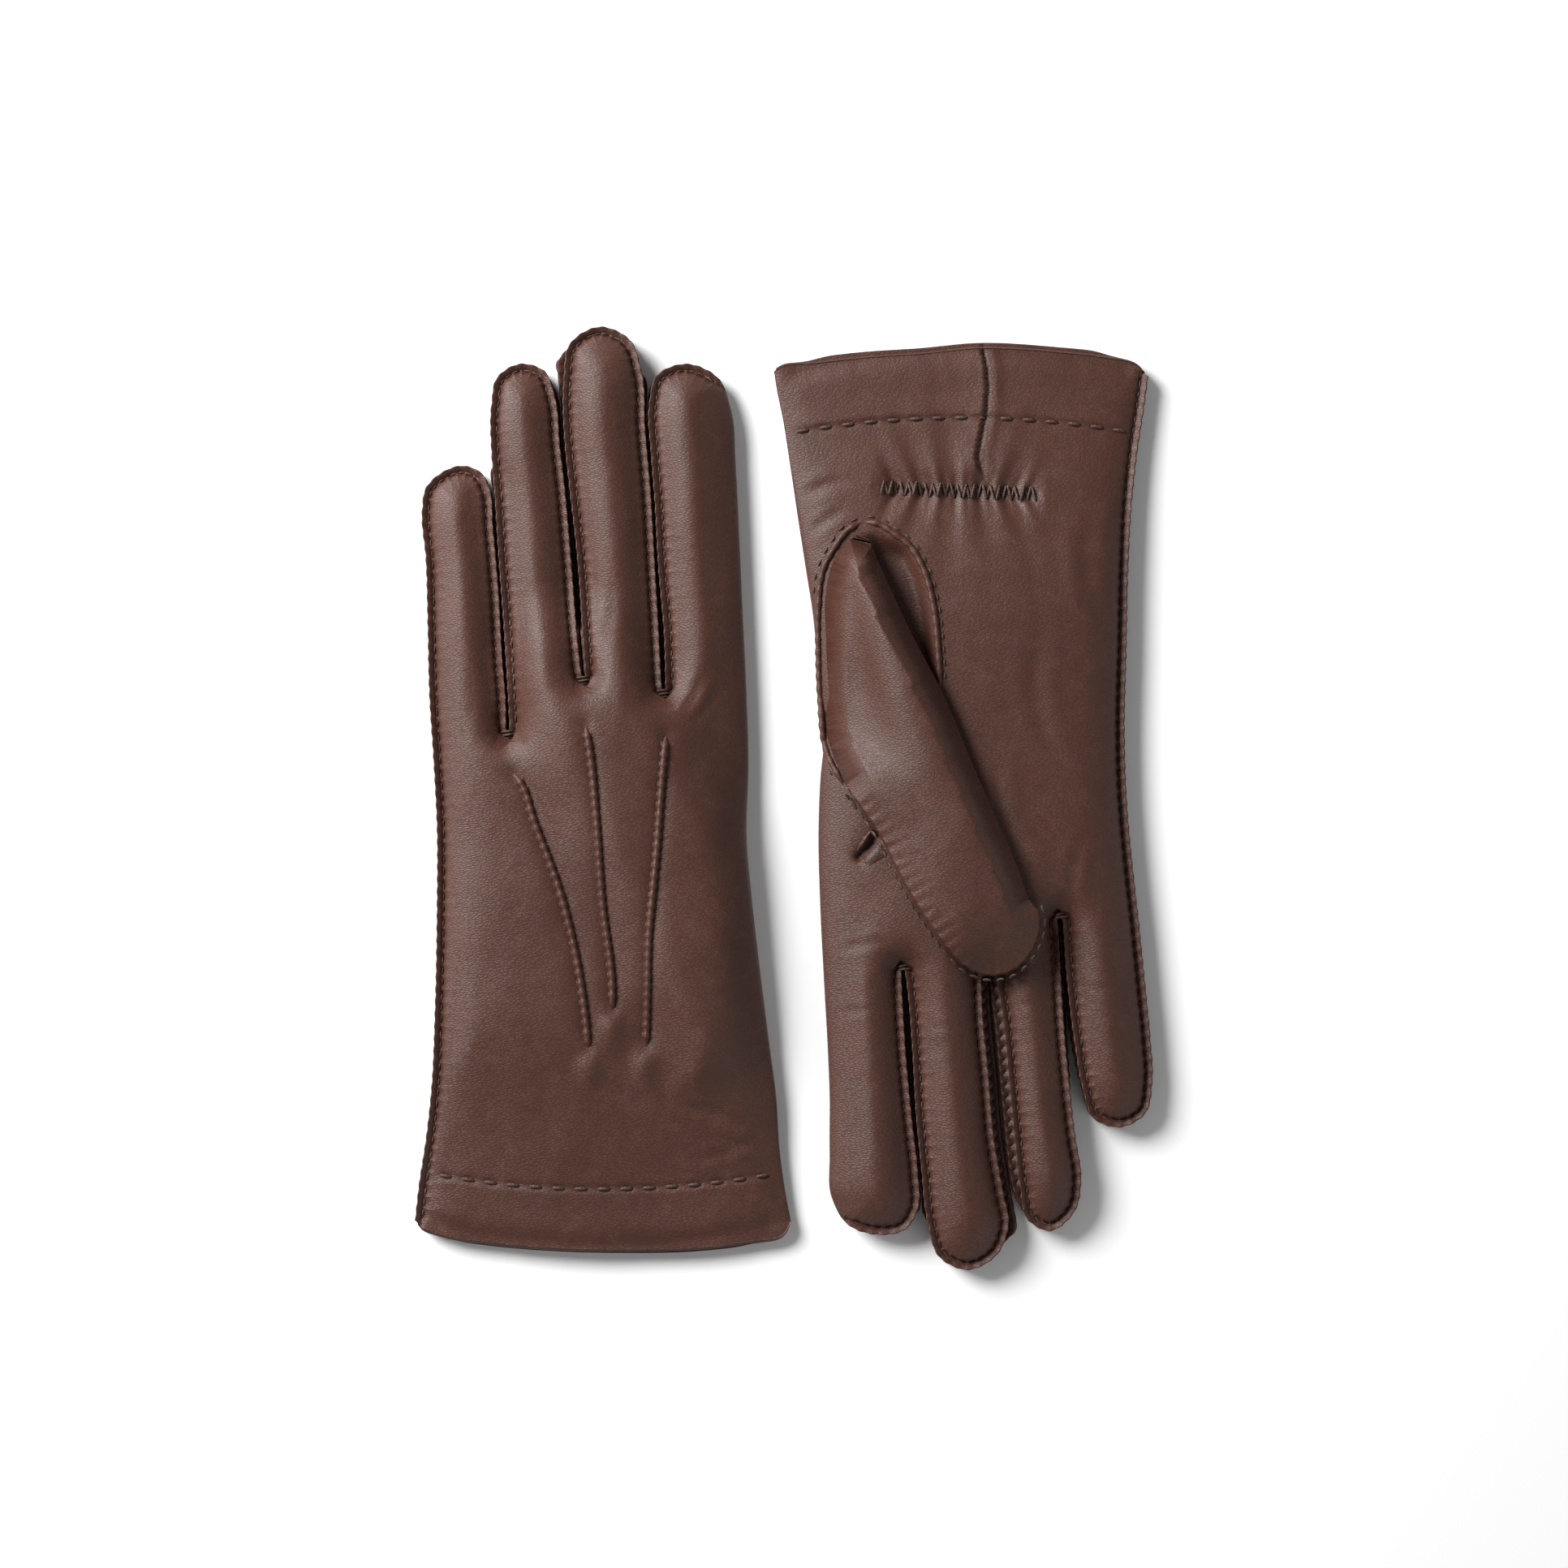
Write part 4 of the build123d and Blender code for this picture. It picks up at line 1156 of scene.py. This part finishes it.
    def cuff(self):
        """The hem's turned edge and its facing inside the cuff."""
        o = self.outline
        run = np.flatnonzero(o.name == "cuff")[1:-1]
        depths = [0, -0.42, -0.55, -0.42, 0, 2.0, 6.0, 12.0, 20.0]
        drops = [0, 0.22, 0.8, 1.38, 1.6, 1.65, 1.7, 1.75, 1.8]
        for upper in (True, False):
            surface, sign = self.surface(self.hand, upper), 1 if upper else -1
            ring = []
            for depth, down in zip(depths, drops):
                flat = o.p[run] + np.array([0, 1.0]) * depth
                flat[:, 0] *= 1 - 0.0042 * max(depth, 0)
                at = o.p[run] if depth < 0 else flat
                z = surface(at) - sign * down
                middle = (self.surface(self.hand, True)(at) + self.surface(self.hand, False)(at)) / 2
                z = np.maximum(z, middle + 0.12) if upper else np.minimum(z, middle - 0.12)
                if not upper:
                    flat[:, 1] -= cuff_overlap(self.side, flat[:, 0], np.full(len(flat), max(depth, 0)))
                ring.append(self.build.add(np.column_stack([flat, z])))
            for r in range(len(ring) - 1):
                for k in range(len(run) - 1):
                    quad = (ring[r] + k, ring[r] + k + 1, ring[r + 1] + k + 1, ring[r + 1] + k)
                    self.build.face(quad[::-1] if upper else quad, "hand_leather")

    def elastic(self):
        """The band behind the zigzag, between leather and lining."""
        (u0, v0), (u1, v1) = ZIGZAG
        upper = not self.back_up
        surface, sign = self.surface(self.hand, upper), 1 if upper else -1
        across = np.linspace(u1, u0, 60)
        centre = v0 + (across - u0) / (u1 - u0) * (v1 - v0)
        rings = []
        for dv, down in ((-2.2, 0.9), (0, 0.86), (2.2, 0.9), (2.3, 1.1), (2.2, 1.3), (0, 1.34), (-2.2, 1.3),
                         (-2.3, 1.1)):
            flat = np.column_stack([across, centre + dv])
            rings.append(self.build.add(np.column_stack([flat, surface(flat) - sign * down])))
        for a, b in zip(rings, rings[1:] + rings[:1]):
            for k in range(len(across) - 1):
                quad = (a + k, a + k + 1, b + k + 1, b + k)
                self.build.face(quad if upper else quad[::-1], "wrist_elastic")
        for k, flip in ((0, upper), (len(across) - 1, not upper)):
            cap = [r + k for r in rings]
            self.build.face(cap[::-1] if flip else cap, "wrist_elastic")

    def crotch_bars(self):
        """A few tight stitches across the foot of each slit."""
        o = self.outline
        for name in FINGERS[:-1]:
            last = np.flatnonzero(o.name == name)[-1]
            foot = o.p[last] + np.array([0.2, -1.1])
            flat = foot + np.array([[0.0, 0.5], [0.0, -0.4], [0.0, -1.3]])
            for upper in (True, False):
                self.threads.lay("hand_seam_threads", self.surface(self.hand, upper), flat,
                                 np.tile([1.0, 0.12], (3, 1)), *CROTCH_STITCH, facing=1 if upper else -1)

    def material(self, label):
        # The side strips and the gusset take the darker copy of the leather, painted shade for their deep
        # gaps.
        if "fourchette" in label or "quirk" in label:
            return LEATHER_PAINTED_SHADE
        if "elastic" in label:
            return ELASTIC
        return KNIT if "lining" in label else LEATHER_BROWN

    def thumb_label(self, q, near):
        flat, ahead, _ = joint_of(self.side, f"{self.side}_thumb_lift")
        beyond = (q - flat) @ ahead > -SPLIT_BEFORE
        return np.where(beyond, "thumb_tip_leather", "thumb_base_leather").astype(object)

    def make(self):
        self.sheets(self.hand, self.fine, self.finger_label, self.strip_label)
        coarse = lambda q: np.zeros(len(q), bool)
        self.sheets(self.thumb, coarse, self.thumb_label, lambda i: "thumb_tip_leather")
        self.back_points()
        self.thumb_seams()
        self.quirk()
        self.cuff()
        self.elastic()
        self.seam_stitches()
        self.hem_stitches()
        self.zigzag()
        self.crotch_bars()
        made = self.build.build(self.material)
        made.update(self.threads.build(THREAD_BROWN))
        self.attach(made)

    def attach(self, made):
        """Hangs the pieces of the hand and cuff on the hand's body, leaves the finger and thumb-tip pieces
        where they are, on no body and unbent, and hides the CAD node that each piece stands for.
        """
        side, hand = self.side, f"{self.side}_hand"
        for label, obj in made.items():
            finger = next((n for n in FINGERS if label.startswith(n + "_")), None)
            if finger:
                bend(obj, side, f"{side}_{finger}_flex", f"{finger}_finger")
            elif label in ("thumb_tip_leather", "thumb_thread", "thumb_lining"):
                bend(obj, side, f"{side}_thumb_lift", "thumb")
            else:
                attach(obj, hand)
            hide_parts(f"{side}_{label}")


for glove_side in ("left", "right"):
    Glove(glove_side).make()


# ---------------------------------------------------------------- stage
def stage():
    bpy.ops.mesh.primitive_plane_add(size=6)
    floor = bpy.context.object
    floor.name = "floor"
    material, _, _, shader = node_material("floor_white")
    shader.inputs["Base Color"].default_value = (0.92, 0.92, 0.92, 1)
    shader.inputs["Roughness"].default_value = 0.9
    floor.data.materials.append(material)


def camera():
    data = bpy.data.cameras.new("camera")
    data.lens = 100
    data.sensor_width = 36
    data.clip_end = 20
    obj = bpy.data.objects.new("camera", data)
    bpy.context.scene.collection.objects.link(obj)
    width_seen = 0.425
    obj.location = (0.0002, 0.0041, width_seen * data.lens / data.sensor_width)
    obj.rotation_euler = (0, 0, 0)
    bpy.context.scene.camera = obj


def area_light(name, at, size, power, colour=(1, 1, 1)):
    data = bpy.data.lights.new(name, "AREA")
    data.shape = "DISK"
    data.size = size
    data.energy = power
    data.color = colour
    obj = bpy.data.objects.new(name, data)
    obj.location = at
    obj.rotation_euler = (-Vector(at)).to_track_quat("-Z", "Y").to_euler()
    bpy.context.scene.collection.objects.link(obj)


def lights():
    area_light("key", (-0.86, 0.62, 0.70), 0.8, 37)
    area_light("fill", (1.0, -0.9, 0.9), 1.2, 4)
    world = bpy.data.worlds.new("world")
    world.use_nodes = True
    nodes, links = world.node_tree.nodes, world.node_tree.links
    height = nodes.new("ShaderNodeSeparateXYZ")
    links.new(nodes.new("ShaderNodeTexCoord").outputs["Generated"], height.inputs["Vector"])
    overhead = curve_of(nodes, links, height.outputs["Z"], 0.25, 0.9)
    sky = blend_colours(nodes, links, overhead, (0.5, 0.5, 0.5), (0.07, 0.07, 0.07))
    links.new(sky, nodes["Background"].inputs["Color"])
    bpy.context.scene.world = world
    bpy.context.scene.view_settings.view_transform = "Standard"


stage()
camera()
lights()
